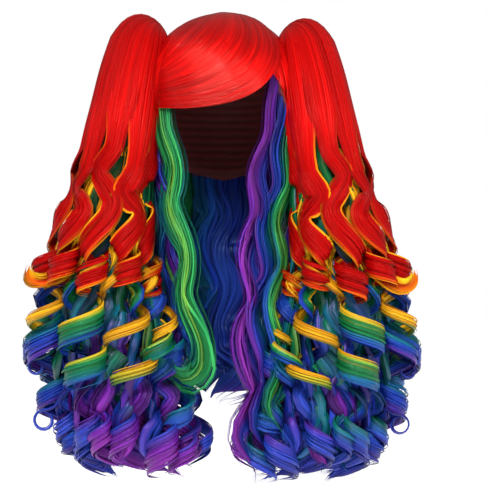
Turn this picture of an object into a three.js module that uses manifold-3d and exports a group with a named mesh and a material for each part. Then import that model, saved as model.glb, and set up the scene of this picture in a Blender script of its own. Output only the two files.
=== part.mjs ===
// Long two-pigtail costume wig. A hollow crown of smooth red hair carries a side-swept fringe and wavy
// base hair, and a clip-on pigtail on each side falls in curls from red through gold, green and blue
// to violet.
//
// Millimetres, +Z up, the fringe towards -Y, origin at the top of the crown's inside.

import * as THREE from "three";
import { ConvexGeometry } from "three/addons/geometries/ConvexGeometry.js";
import { mergeVertices } from "three/addons/utils/BufferGeometryUtils.js";
import Module from "manifold-3d";

const wasm = await Module();
wasm.setup();

// Crown: a hollow dome with straight walls below its widest level, its rim arched over the opening in front.
const HOLLOW_HALF = { x: 80, y: 97, z: 90 };
const CROWN_HALF = { x: 96, y: 108, z: 100 };
const WIDEST_Z = -90;
const SKIRT_TAPER = 0.12;
const RIM = { frontZ: -46, sideZ: -150, backZ: -185, frontDeg: 28, sideDeg: 75 };
const CROWN_COLUMNS = 26;
const CROWN_ROWS = 6;
const CROWN_TOP_SHARE = 0.07;
const CROWN_FLUTE = 1.8;

// Clearance between pieces that lie against each other. The thin edges of a strip take more of it.
const SEAT_GAP = 0.5;
const EDGE_CLEARANCE = 2.6;
const SMALLEST_EDGE = 0.3;

// Fringe: a ridged sheet of strips from the top of the crown to its left side, drawn from the front as the
// x and z of the four points that steer its first and last strip.
const FRINGE = {
  strips: 7,
  steps: 9,
  underLift: 1.4,
  valleyLift: 4,
  ridgeLift: 6.5,
  tipShare: 0.5,
  first: [[-14, 9], [-38, 6], [-60, -14], [-64, -48]],
  last: [[30, 4.5], [90, -30], [72, -118], [-66, -104]],
};

// Pigtail, left side: its axis and half sizes at each height.
const PIGTAIL_SECTIONS = [
  { z: 3, x: -97, y: -2, halfX: 4, halfY: 4 },
  { z: -8, x: -97, y: -4, halfX: 24, halfY: 28 },
  { z: -27, x: -99, y: -8, halfX: 33, halfY: 42 },
  { z: -60, x: -104, y: -18, halfX: 39, halfY: 55 },
  { z: -110, x: -111, y: -32, halfX: 45, halfY: 62 },
  { z: -150, x: -117, y: -40, halfX: 48, halfY: 62 },
  { z: -200, x: -128, y: -46, halfX: 54, halfY: 58 },
  { z: -260, x: -135, y: -50, halfX: 62, halfY: 57 },
  { z: -305, x: -141, y: -52, halfX: 72, halfY: 60 },
  { z: -350, x: -139, y: -52, halfX: 80, halfY: 62 },
  { z: -400, x: -133, y: -52, halfX: 86, halfY: 62 },
  { z: -450, x: -119, y: -50, halfX: 82, halfY: 58 },
  { z: -500, x: -100, y: -48, halfX: 70, halfY: 50 },
  { z: -540, x: -90, y: -46, halfX: 52, halfY: 40 },
];
const RIGHT_PIGTAIL_DROP = 5;

// Smooth masses of hair inside a pigtail: share is of the half sizes at that height.
const HOOD_ROWS = [
  { z: 3, share: 1 },
  { z: -8, share: 1 },
  { z: -27, share: 1 },
  { z: -60, share: 1 },
  { z: -110, share: 1 },
  { z: -150, share: 0.97 },
  { z: -176, share: 0.76 },
  { z: -206, share: 0.5 },
  { z: -262, share: 0.42 },
];
const HEART_ROWS = [
  { z: -288, share: 0.2 },
  { z: -330, share: 0.3 },
  { z: -400, share: 0.36 },
  { z: -470, share: 0.3 },
];
const MASS_COLUMNS = 16;
const MASS_FLUTE = 2.2;

// Colour layers of a pigtail from the outside in. The red locks leave the hood. The layers under them
// start as a sewn disc on the pigtail's axis and flare out below the red curls.
const LAYERS = {
  red: { colour: 0xdb1512, rootZ: -136, growth: 70, rootWidth: 22 },
  gold: { colour: 0xe3a81c, rootZ: -267, flare: 38, growth: 40, rootWidth: 12, disc: 26 },
  green: { colour: 0x0d7a4a, rootZ: -275, flare: 40, growth: 40, rootWidth: 12, disc: 22 },
  blue: { colour: 0x2340b4, rootZ: -283, flare: 42, growth: 40, rootWidth: 11, disc: 18 },
  violet: { colour: 0x6a2196, rootZ: -390, flare: 50, growth: 40, rootWidth: 16, disc: 16 },
};
const DISC_THICK = 7.4;
const DISC_SIDES = 8;
const CURL_TIGHTENING = 1.35;
const LOCK_THICK = 13;
const TIP_SHARE = 0.35;
const TIP_TAPER_FROM = 0.84;
const STEPS_PER_TURN = 5.2;
const FINER_AT_ROOT = 1.1;

// Locks of the left pigtail. bearing is degrees round its axis, 0 to the front and 90 away from the crown.
// reach is the share of the half sizes at which the curl's axis hangs. The curl winds between curlZ and
// endZ at the radius curl.
const PIGTAIL_LOCKS = [
  { layer: "red", bearing: 78, reach: 0.93, curlZ: -152, endZ: -304, curl: 13, turns: 2.1, width: 21 },
  { layer: "red", bearing: 42, reach: 0.93, curlZ: -172, endZ: -300, curl: 13, turns: 1.9, width: 24 },
  { layer: "red", bearing: 6, reach: 0.92, curlZ: -146, endZ: -308, curl: 14, turns: 2.2, width: 24 },
  { layer: "red", bearing: -30, reach: 0.94, curlZ: -174, endZ: -300, curl: 13, turns: 1.7, width: 25 },
  { layer: "red", bearing: -66, reach: 0.84, curlZ: -156, endZ: -314, curl: 14, turns: 2.0, width: 25 },
  { layer: "red", bearing: 116, reach: 0.92, curlZ: -168, endZ: -300, curl: 14, turns: 1.9, width: 25 },
  { layer: "red", bearing: 156, reach: 0.92, curlZ: -150, endZ: -308, curl: 14, turns: 2.1, width: 28 },
  { layer: "red", bearing: -160, reach: 0.92, curlZ: -172, endZ: -302, curl: 14, turns: 1.8, width: 28 },
  { layer: "gold", bearing: -27, reach: 0.84, curlZ: -280, endZ: -436, curl: 25, turns: 2.8, width: 16 },
  { layer: "gold", bearing: 56, reach: 0.94, curlZ: -282, endZ: -372, curl: 18, turns: 1.6, width: 15 },
  { layer: "gold", bearing: 174, reach: 0.85, curlZ: -280, endZ: -400, curl: 20, turns: 2.1, width: 18 },
  { layer: "green", bearing: 17, reach: 0.88, curlZ: -288, endZ: -428, curl: 24, turns: 2.6, width: 28 },
  { layer: "green", bearing: 128, reach: 0.88, curlZ: -290, endZ: -434, curl: 21, turns: 2.5, width: 25 },
  { layer: "blue", bearing: 88, reach: 0.85, curlZ: -296, endZ: -516, curl: 20, turns: 3.4, width: 24 },
  { layer: "blue", bearing: -74, reach: 0.9, curlZ: -300, endZ: -446, curl: 18, turns: 2.1, width: 24 },
  { layer: "blue", bearing: -148, reach: 0.84, curlZ: -298, endZ: -500, curl: 20, turns: 2.9, width: 25 },
  { layer: "violet", bearing: 46, reach: 0.8, curlZ: -408, endZ: -518, curl: 19, turns: 1.7, width: 25 },
  { layer: "violet", bearing: 4, reach: 0.78, curlZ: -404, endZ: -522, curl: 19, turns: 1.8, width: 25 },
  { layer: "violet", bearing: -36, reach: 0.84, curlZ: -410, endZ: -526, curl: 19, turns: 1.7, width: 25 },
  { layer: "violet", bearing: -80, reach: 0.86, curlZ: -404, endZ: -520, curl: 17, turns: 1.8, width: 24 },
  { layer: "violet", bearing: 150, reach: 0.8, curlZ: -406, endZ: -510, curl: 19, turns: 1.6, width: 28 },
];

// Hidden clasp of each pigtail: a plain bar against the side of the crown.
const CLIP = { length: 46, width: 12, thick: 7, corner: 3, z: -30, y: -10, colour: 0x3a0d0d };

// Base hair: a wavy lock from the crown's rim. rootDeg is the azimuth on the rim, 0 at the front and
// positive towards +X.
const BASE_LOCKS = [
  { name: "base_left_green", colour: 0x11864b, rootDeg: -52, midX: -46, midY: -86, endX: -12, endY: -86,
    endZ: -430, width: 42, wave: 8, waveLength: 104, phase: 200 },
  { name: "base_left_violet", colour: 0x6a2196, rootDeg: -72, midX: -54, midY: -58, endX: -36, endY: -44,
    endZ: -424, width: 38, wave: 6, waveLength: 90, phase: 160 },
  { name: "base_left_blue", colour: 0x2340b4, rootDeg: -98, midX: -70, midY: -10, endX: -54, endY: 2,
    endZ: -450, width: 42, wave: 7, waveLength: 90, phase: 200 },
  { name: "base_back_green", colour: 0x11864b, rootDeg: -132, midX: -64, midY: 66, endX: -60, endY: 62,
    endZ: -440, width: 66, wave: 8, waveLength: 100, phase: 60 },
  { name: "base_back_blue", colour: 0x2340b4, rootDeg: 180, midX: 0, midY: 94, endX: 0, endY: 86,
    endZ: -450, width: 80, wave: 8, waveLength: 100, phase: 120 },
  { name: "base_back_violet", colour: 0x6a2196, rootDeg: 132, midX: 64, midY: 66, endX: 60, endY: 62,
    endZ: -440, width: 66, wave: 8, waveLength: 100, phase: 180 },
  { name: "base_right_green", colour: 0x11864b, rootDeg: 84, midX: 64, midY: -30, endX: 56, endY: -18,
    endZ: -450, width: 38, wave: 6, waveLength: 90, phase: 20 },
  { name: "base_right_blue", colour: 0x2340b4, rootDeg: 64, midX: 50, midY: -60, endX: 46, endY: -46,
    endZ: -456, width: 32, wave: 6, waveLength: 90, phase: 100 },
  { name: "base_right_violet", colour: 0x6a2196, rootDeg: 46, midX: 34, midY: -88, endX: 24, endY: -92,
    endZ: -534, width: 36, wave: 7, waveLength: 96, phase: 190 },
];
const BASE_THICK = 9;
const BASE_STEPS = 12;
const BASE_MID_SHARE = 0.42;
const BASE_WAVE_FROM = 0.3;
const BASE_WAVE_DEPTH = 0.5;

// Sections of a strip as shares of half its width and half its thickness, from one edge over its face to
// the other edge and back. The sides from under on are its underside.
const LOCK_SECTION = { corners: [[-1, 0], [0, 1], [1, 0], [0, -1]], under: 2 };
const BASE_SECTION = { corners: [[-1, -1], [-0.5, 1], [0, 0.5], [0.5, 1], [1, -1]], under: 4 };

const HAIR_FINISH = { roughness: 0.38, metalness: 0 };
const CLIP_FINISH = { roughness: 0.5, metalness: 0 };
const RED_HAIR = 0xdb1512;

const radians = THREE.MathUtils.degToRad;
const mix = THREE.MathUtils.lerp;
const ease = (from, to, value) => THREE.MathUtils.smoothstep((value - from) / (to - from), 0, 1);
const count = (length, make) => Array.from({ length }, (_, i) => make(i));

// Solids

// A closed body through rings of points, with a fan over each end. The sides from under on are split along
// the other diagonal, so that the two faces of a thin twisted strip stay parallel.
function loft(rings, under = Infinity) {
  const around = rings[0].length;
  const faces = [];
  for (let ring = 0; ring + 1 < rings.length; ring++) {
    for (let i = 0; i < around; i++) {
      const a = ring * around + i;
      const b = ring * around + ((i + 1) % around);
      if (i < under) {
        faces.push([a, b, a + around], [b, b + around, a + around]);
      } else {
        faces.push([a, b, b + around], [a, b + around, a + around]);
      }
    }
  }
  const last = (rings.length - 1) * around;
  for (let i = 1; i + 1 < around; i++) {
    faces.push([0, i + 1, i], [last, last + i, last + i + 1]);
  }
  return solid(rings.flat(), faces);
}

// A closed sheet between two grids of points, given as rows.
function sheet(upper, under) {
  const rows = upper.length;
  const columns = upper[0].length;
  const at = (row, column) => row * columns + column;
  const below = (row, column) => rows * columns + at(row, column);
  const faces = [];
  for (let row = 0; row + 1 < rows; row++) {
    for (let column = 0; column + 1 < columns; column++) {
      const corners = [[row, column], [row, column + 1], [row + 1, column + 1], [row + 1, column]];
      const [a, b, c, d] = corners.map((corner) => at(...corner));
      const [e, f, g, h] = corners.map((corner) => below(...corner));
      faces.push([a, b, c], [a, c, d], [e, g, f], [e, h, g]);
    }
  }
  const border = [
    ...count(columns - 1, (i) => [0, i]),
    ...count(rows - 1, (i) => [i, columns - 1]),
    ...count(columns - 1, (i) => [rows - 1, columns - 1 - i]),
    ...count(rows - 1, (i) => [rows - 1 - i, 0]),
  ];
  border.forEach((from, i) => {
    const to = border[(i + 1) % border.length];
    faces.push([at(...from), below(...from), at(...to)], [at(...to), below(...from), below(...to)]);
  });
  return solid([...upper.flat(), ...under.flat()], faces);
}

// A solid with its faces turned outwards.
function solid(points, faces) {
  const volume = faces.reduce((sum, [a, b, c]) => {
    const cross = new THREE.Vector3().crossVectors(points[b], points[c]);
    return sum + points[a].dot(cross);
  }, 0);
  const outward = volume < 0 ? faces.map(([a, b, c]) => [a, c, b]) : faces;
  const vertProperties = new Float32Array(points.flatMap((p) => p.toArray()));
  const triVerts = new Uint32Array(outward.flat());
  return new wasm.Manifold(new wasm.Mesh({ numProp: 3, vertProperties, triVerts }));
}

function solidOfGeometry(geometry) {
  geometry.deleteAttribute("normal");
  geometry.deleteAttribute("uv");
  const merged = mergeVertices(geometry);
  return new wasm.Manifold(new wasm.Mesh({
    numProp: 3,
    vertProperties: new Float32Array(merged.attributes.position.array),
    triVerts: new Uint32Array(merged.index.array),
  }));
}

const join = (solids) => solids.reduce((all, one) => all.add(one));

// The largest body left of a piece when its neighbours and their clearance are cut away.
function cutClear(piece, neighbours) {
  const rest = neighbours.reduce((left, other) => left.subtract(other), piece).simplify(SMALLEST_EDGE);
  return rest.decompose().sort((a, b) => b.volume() - a.volume())[0];
}

function meshOf(name, piece, colour, finish = HAIR_FINISH) {
  const { vertProperties, triVerts } = piece.getMesh();
  const geometry = new THREE.BufferGeometry();
  geometry.setAttribute("position", new THREE.BufferAttribute(vertProperties, 3));
  geometry.setIndex(new THREE.BufferAttribute(triVerts, 1));
  geometry.computeVertexNormals();
  const mesh = new THREE.Mesh(geometry, new THREE.MeshStandardMaterial({ color: colour, ...finish }));
  mesh.name = name;
  return mesh;
}

// Rings of a strip of hair along samples of { point, facing, width, thick }, wider by grow on every side.
function stripRings(samples, section, grow = 0) {
  const last = samples.length - 1;
  return samples.map((sample, i) => {
    const before = samples[Math.max(i - 1, 0)].point;
    const after = samples[Math.min(i + 1, last)].point;
    const along = after.clone().sub(before).normalize();
    const across = new THREE.Vector3().crossVectors(sample.facing, along).normalize();
    const out = new THREE.Vector3().crossVectors(along, across);
    const end = i === 0 ? -grow : i === last ? grow : 0;
    const centre = sample.point.clone().addScaledVector(along, end);
    const halfWidth = sample.width / 2 + EDGE_CLEARANCE * grow;
    const halfThick = sample.thick / 2 + grow;
    return section.corners.map(([side, height]) => centre.clone()
      .addScaledVector(across, halfWidth * side)
      .addScaledVector(out, halfThick * height));
  });
}

const strip = (samples, section) => loft(stripRings(samples, section), section.under);

// The room that a strip takes up with its clearance: the hull of each two rings in turn.
function stripRoom(samples, section) {
  const rings = stripRings(samples, section, SEAT_GAP);
  const hulls = rings.slice(1).map((ring, i) => new ConvexGeometry([...rings[i], ...ring]));
  return join(hulls.map(solidOfGeometry));
}

// Crown

function rimZ(azimuth) {
  const degrees = Math.abs(THREE.MathUtils.radToDeg(Math.atan2(Math.sin(azimuth), Math.cos(azimuth))));
  if (degrees > RIM.sideDeg) {
    return mix(RIM.sideZ, RIM.backZ, (degrees - RIM.sideDeg) / (180 - RIM.sideDeg));
  }
  return mix(RIM.frontZ, RIM.sideZ, ease(RIM.frontDeg, RIM.sideDeg, degrees));
}

function rimPolar(half, azimuth, grow = 0) {
  const drop = (rimZ(azimuth) - grow - WIDEST_Z) / half.z;
  return drop > 0 ? Math.acos(drop) : Math.PI / 2 - drop;
}

// A point of the dome at a polar angle from its top, which runs on straight down past 90 degrees.
function domePoint(half, azimuth, polar) {
  const past = Math.max(polar - Math.PI / 2, 0);
  const radius = past > 0 ? 1 - SKIRT_TAPER * past * past : Math.sin(polar);
  const height = past > 0 ? -past : Math.cos(polar);
  return new THREE.Vector3(
    half.x * radius * Math.sin(azimuth),
    -half.y * radius * Math.cos(azimuth),
    WIDEST_Z + half.z * height,
  );
}

const grown = (half, by) => ({ x: half.x + by, y: half.y + by, z: half.z + by });

// Rings of the dome from its top to the rim. Every second column lies lower by the flute.
function domeRings(half, grow, flute) {
  return count(CROWN_ROWS + 1, (row) =>
    count(CROWN_COLUMNS, (column) => {
      const azimuth = (2 * Math.PI * column) / CROWN_COLUMNS;
      const share = Math.max(row / CROWN_ROWS, CROWN_TOP_SHARE);
      const wall = grown(half, row > 0 && column % 2 ? -flute : 0);
      return domePoint(wall, azimuth, share * rimPolar(wall, azimuth, grow));
    }));
}

function crownSolid(grow = 0) {
  const inside = domeRings(grown(HOLLOW_HALF, -grow), grow, 0);
  const outside = domeRings(grown(CROWN_HALF, grow), grow, grow > 0 ? 0 : CROWN_FLUTE);
  return loft([...inside, ...outside.reverse()]);
}

// Fringe

// A point at a height over the crown's front, from its x and z in the front view.
function overFront(x, z, lift) {
  const rise = Math.max(z - WIDEST_Z, 0);
  const depth = 1 - (x / CROWN_HALF.x) ** 2 - (rise / CROWN_HALF.z) ** 2;
  const y = -CROWN_HALF.y * Math.sqrt(Math.max(depth, 0));
  const normal = new THREE.Vector3(x / CROWN_HALF.x ** 2, y / CROWN_HALF.y ** 2, rise / CROWN_HALF.z ** 2);
  return new THREE.Vector3(x, y, z).addScaledVector(normal.normalize(), lift);
}

function fringeSolid() {
  const columns = 2 * FRINGE.strips + 1;
  const grid = (liftAt) =>
    count(columns, (column) => {
      const share = column / (columns - 1);
      const steers = FRINGE.first.map((steer, i) =>
        new THREE.Vector2(...steer).lerp(new THREE.Vector2(...FRINGE.last[i]), share));
      const sweep = new THREE.CubicBezierCurve(...steers).getPoints(FRINGE.steps);
      return sweep.map((at, step) => overFront(at.x, at.y, liftAt(column, step / FRINGE.steps)));
    });
  const crest = (column, along) => {
    const lift = column % 2 ? FRINGE.ridgeLift : FRINGE.valleyLift;
    return mix(FRINGE.tipShare, 1, Math.sin(Math.PI * along)) * lift;
  };
  return sheet(grid(crest), grid(() => FRINGE.underLift));
}

// Pigtails

function sectionAt(z) {
  const rows = PIGTAIL_SECTIONS;
  const below = Math.min(Math.max(rows.findIndex((row) => row.z <= z), 1), rows.length - 1);
  const [upper, lower] = [rows[below - 1], rows[below]];
  const share = THREE.MathUtils.clamp((upper.z - z) / (upper.z - lower.z), 0, 1);
  const column = (key) => mix(upper[key], lower[key], share);
  return { x: column("x"), y: column("y"), halfX: column("halfX"), halfY: column("halfY") };
}

// A fluted mass of hair on the pigtail's axis.
function massSolid(rows, grow = 0) {
  const rings = rows.map((row, i) => {
    const section = sectionAt(row.z);
    const end = i === 0 ? grow : i === rows.length - 1 ? -grow : 0;
    return count(MASS_COLUMNS, (column) => {
      const turn = (2 * Math.PI * column) / MASS_COLUMNS;
      const flute = grow === 0 && i > 0 && column % 2 ? MASS_FLUTE : 0;
      return new THREE.Vector3(
        section.x - (row.share * section.halfX + grow - flute) * Math.sin(turn),
        section.y - (row.share * section.halfY + grow - flute) * Math.cos(turn),
        row.z + end,
      );
    });
  });
  return loft(rings);
}

// The sewn disc on the pigtail's axis that a layer's locks hang from.
function discSolid(layer, grow = 0) {
  const section = sectionAt(layer.rootZ);
  const radius = layer.disc + grow;
  const disc = new THREE.CylinderGeometry(radius, radius, DISC_THICK + 2 * grow, DISC_SIDES);
  disc.rotateX(Math.PI / 2).translate(section.x, section.y, layer.rootZ);
  return solidOfGeometry(disc);
}

// Where the axis of a curl hangs at a height. It flares from the layer's disc out to the lock's own place.
function lockAxis(lock, outward, z) {
  const layer = LAYERS[lock.layer];
  const section = sectionAt(z);
  const rooted = (layer.disc ?? 0) / section.halfX;
  const flare = layer.flare ? ease(layer.rootZ, layer.rootZ - layer.flare, z) : 1;
  const reach = mix(rooted, lock.reach, flare);
  return new THREE.Vector3(
    section.x + outward.x * reach * section.halfX,
    section.y + outward.y * reach * section.halfY,
    z,
  );
}

// A lock falls straight from its root and then winds into a curl that tightens and tapers to its tip.
function lockSamples(lock) {
  const layer = LAYERS[lock.layer];
  const bearing = radians(lock.bearing);
  const outward = new THREE.Vector3(-Math.sin(bearing), -Math.cos(bearing), 0);
  const sideways = new THREE.Vector3(-Math.cos(bearing), Math.sin(bearing), 0);
  const steps = Math.round(STEPS_PER_TURN * lock.turns);
  const sampleAt = (z, wound) => {
    const turn = 2 * Math.PI * lock.turns * wound;
    const spoke = outward.clone().multiplyScalar(Math.cos(turn)).addScaledVector(sideways, Math.sin(turn));
    const curled = ease(lock.curlZ, lock.curlZ - layer.growth, z);
    const tip = mix(1, TIP_SHARE, ease(TIP_TAPER_FROM, 1, wound));
    const point = lockAxis(lock, outward, z).addScaledVector(spoke, curled * lock.curl);
    const width = mix(layer.rootWidth, lock.width, ease(layer.rootZ, lock.curlZ - layer.growth, z));
    return { point, facing: outward, width: width * tip, thick: LOCK_THICK * tip };
  };
  const winding = count(steps + 1, (i) => {
    const wound = (i / steps) ** FINER_AT_ROOT;
    return sampleAt(mix(lock.curlZ, lock.endZ, wound ** (1 / CURL_TIGHTENING)), wound);
  });
  return [sampleAt(layer.rootZ, 0), ...winding];
}

const MASSES = { red: HOOD_ROWS, violet: HEART_ROWS };

function layerBacking(name, grow = 0) {
  return name in MASSES ? massSolid(MASSES[name], grow) : discSolid(LAYERS[name], grow);
}

// A layer's backing and locks, each lock made by the function of its samples and section.
function layerSolid(name, backing, makeLock) {
  const locks = PIGTAIL_LOCKS.filter((lock) => lock.layer === name);
  return join([backing, ...locks.map((lock) => makeLock(lockSamples(lock), LOCK_SECTION))]);
}

function clipSolid(grow = 0) {
  const half = CLIP.length / 2 + grow;
  const rise = CLIP.width / 2 + grow;
  const outline = new THREE.Shape();
  outline.moveTo(half - CLIP.corner, -rise);
  outline.absarc(half - CLIP.corner, CLIP.corner - rise, CLIP.corner, -Math.PI / 2, 0);
  outline.absarc(half - CLIP.corner, rise - CLIP.corner, CLIP.corner, 0, Math.PI / 2);
  outline.absarc(CLIP.corner - half, rise - CLIP.corner, CLIP.corner, Math.PI / 2, Math.PI);
  outline.absarc(CLIP.corner - half, CLIP.corner - rise, CLIP.corner, Math.PI, 1.5 * Math.PI);
  const bar = new THREE.ExtrudeGeometry(outline, {
    depth: CLIP.thick + 2 * grow, bevelEnabled: false, curveSegments: 2,
  });
  const climb = (CLIP.z - WIDEST_Z) / CROWN_HALF.z;
  const reach = Math.sqrt(1 - climb ** 2 - (CLIP.y / CROWN_HALF.y) ** 2);
  const seat = new THREE.Vector3(-CROWN_HALF.x * reach, CLIP.y, CLIP.z);
  const normal = new THREE.Vector3(-reach / CROWN_HALF.x, 0, climb / CROWN_HALF.z).normalize();
  const along = new THREE.Vector3(0, 1, 0);
  const across = new THREE.Vector3().crossVectors(normal, along);
  bar.applyMatrix4(new THREE.Matrix4().makeBasis(along, across, normal));
  seat.addScaledVector(normal, SEAT_GAP - grow);
  bar.translate(seat.x, seat.y, seat.z);
  return solidOfGeometry(bar);
}

// Base hair

function baseSamples(lock) {
  const azimuth = radians(lock.rootDeg);
  const middle = (axis) => (HOLLOW_HALF[axis] + CROWN_HALF[axis]) / 2;
  const wall = { x: middle("x"), y: middle("y"), z: CROWN_HALF.z };
  const root = domePoint(wall, azimuth, rimPolar(wall, azimuth));
  const mid = new THREE.Vector3(lock.midX, lock.midY, mix(root.z, lock.endZ, BASE_MID_SHARE));
  const end = new THREE.Vector3(lock.endX, lock.endY, lock.endZ);
  const line = new THREE.CatmullRomCurve3([root, mid, end]);
  const outward = new THREE.Vector3(Math.sin(azimuth), -Math.cos(azimuth), 0);
  const sideways = new THREE.Vector3(Math.cos(azimuth), Math.sin(azimuth), 0);
  return count(BASE_STEPS + 1, (i) => {
    const along = i / BASE_STEPS;
    const point = line.getPoint(along);
    const growth = ease(0, BASE_WAVE_FROM, along);
    const turn = radians(lock.phase) + (2 * Math.PI * (root.z - point.z)) / lock.waveLength;
    const tip = mix(1, TIP_SHARE, ease(TIP_TAPER_FROM, 1, along));
    point.addScaledVector(sideways, lock.wave * growth * Math.sin(turn));
    point.addScaledVector(outward, lock.wave * growth * BASE_WAVE_DEPTH * Math.cos(turn));
    return { point, facing: outward, width: lock.width * tip, thick: BASE_THICK * tip };
  });
}

// Assembly

const SIDES = ["left", "right"];
const onSide = { left: (piece) => piece, right: (piece) => piece.mirror([1, 0, 0]) };
const dropped = {
  left: (piece) => piece,
  right: (piece) => onSide.right(piece).translate([0, 0, -RIGHT_PIGTAIL_DROP]),
};

const wig = new THREE.Group();
const crownRoom = crownSolid(SEAT_GAP);
const fringe = fringeSolid();
const taken = [crownRoom];

wig.add(meshOf("crown", crownSolid(), RED_HAIR));
wig.add(meshOf("fringe", fringe, RED_HAIR));

for (const side of SIDES) {
  wig.add(meshOf(`clip_${side}`, onSide[side](clipSolid()), CLIP.colour, CLIP_FINISH));
  taken.push(onSide[side](clipSolid(SEAT_GAP)));
}

function addPigtailLayer(name) {
  const shape = layerSolid(name, layerBacking(name), strip);
  const room = layerSolid(name, layerBacking(name, SEAT_GAP), stripRoom);
  for (const side of SIDES) {
    wig.add(meshOf(`pigtail_${side}_${name}`, cutClear(dropped[side](shape), taken), LAYERS[name].colour));
  }
  taken.push(...SIDES.map((side) => dropped[side](room)));
}

addPigtailLayer("red");
for (const lock of BASE_LOCKS) {
  const samples = baseSamples(lock);
  wig.add(meshOf(lock.name, cutClear(strip(samples, BASE_SECTION), taken), lock.colour));
  taken.push(stripRoom(samples, BASE_SECTION));
}
["gold", "green", "blue", "violet"].forEach(addPigtailLayer);

export default wig;
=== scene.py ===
"""Looks of the long two-pigtail wig: every lock of the frame becomes a bundle of fine dyed strands.

Sizes in the tables are millimetres in the frame's axes: +Z up, the fringe towards -Y.
"""

import math

import bpy
import numpy as np
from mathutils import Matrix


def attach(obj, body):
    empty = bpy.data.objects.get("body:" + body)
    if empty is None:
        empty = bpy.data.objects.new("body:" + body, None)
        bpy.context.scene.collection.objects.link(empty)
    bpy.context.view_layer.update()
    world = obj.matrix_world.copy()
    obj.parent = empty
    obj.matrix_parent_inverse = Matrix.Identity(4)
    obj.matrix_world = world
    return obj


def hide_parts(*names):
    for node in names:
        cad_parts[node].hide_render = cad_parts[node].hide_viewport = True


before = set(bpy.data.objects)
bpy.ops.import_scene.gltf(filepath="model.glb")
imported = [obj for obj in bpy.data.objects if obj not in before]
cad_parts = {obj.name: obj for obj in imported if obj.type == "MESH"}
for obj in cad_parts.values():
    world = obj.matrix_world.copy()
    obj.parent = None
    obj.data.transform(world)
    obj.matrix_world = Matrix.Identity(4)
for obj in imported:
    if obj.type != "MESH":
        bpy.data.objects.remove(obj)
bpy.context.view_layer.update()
bpy.ops.object.select_all(action="DESELECT")

MM = 0.001
chance = np.random.default_rng(4207)

# Dyes of the hair as they look in daylight, red, green and blue out of 255.
DYES = {
    "deep_red": (112, 2, 2),
    "red": (156, 3, 3),
    "bright_red": (204, 9, 7),
    "smooth_red": (162, 3, 3),
    "orange": (240, 96, 14),
    "brown_gold": (136, 80, 10),
    "gold": (212, 142, 14),
    "yellow": (230, 178, 30),
    "lime": (124, 166, 40),
    "bright_green": (96, 200, 96),
    "light_green": (50, 152, 78),
    "green": (6, 98, 50),
    "dark_green": (4, 58, 36),
    "teal": (10, 94, 116),
    "light_blue": (42, 76, 182),
    "blue": (20, 44, 144),
    "deep_blue": (12, 22, 88),
    "violet": (86, 22, 128),
    "deep_violet": (46, 10, 78),
    "magenta": (128, 42, 146),
}

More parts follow.
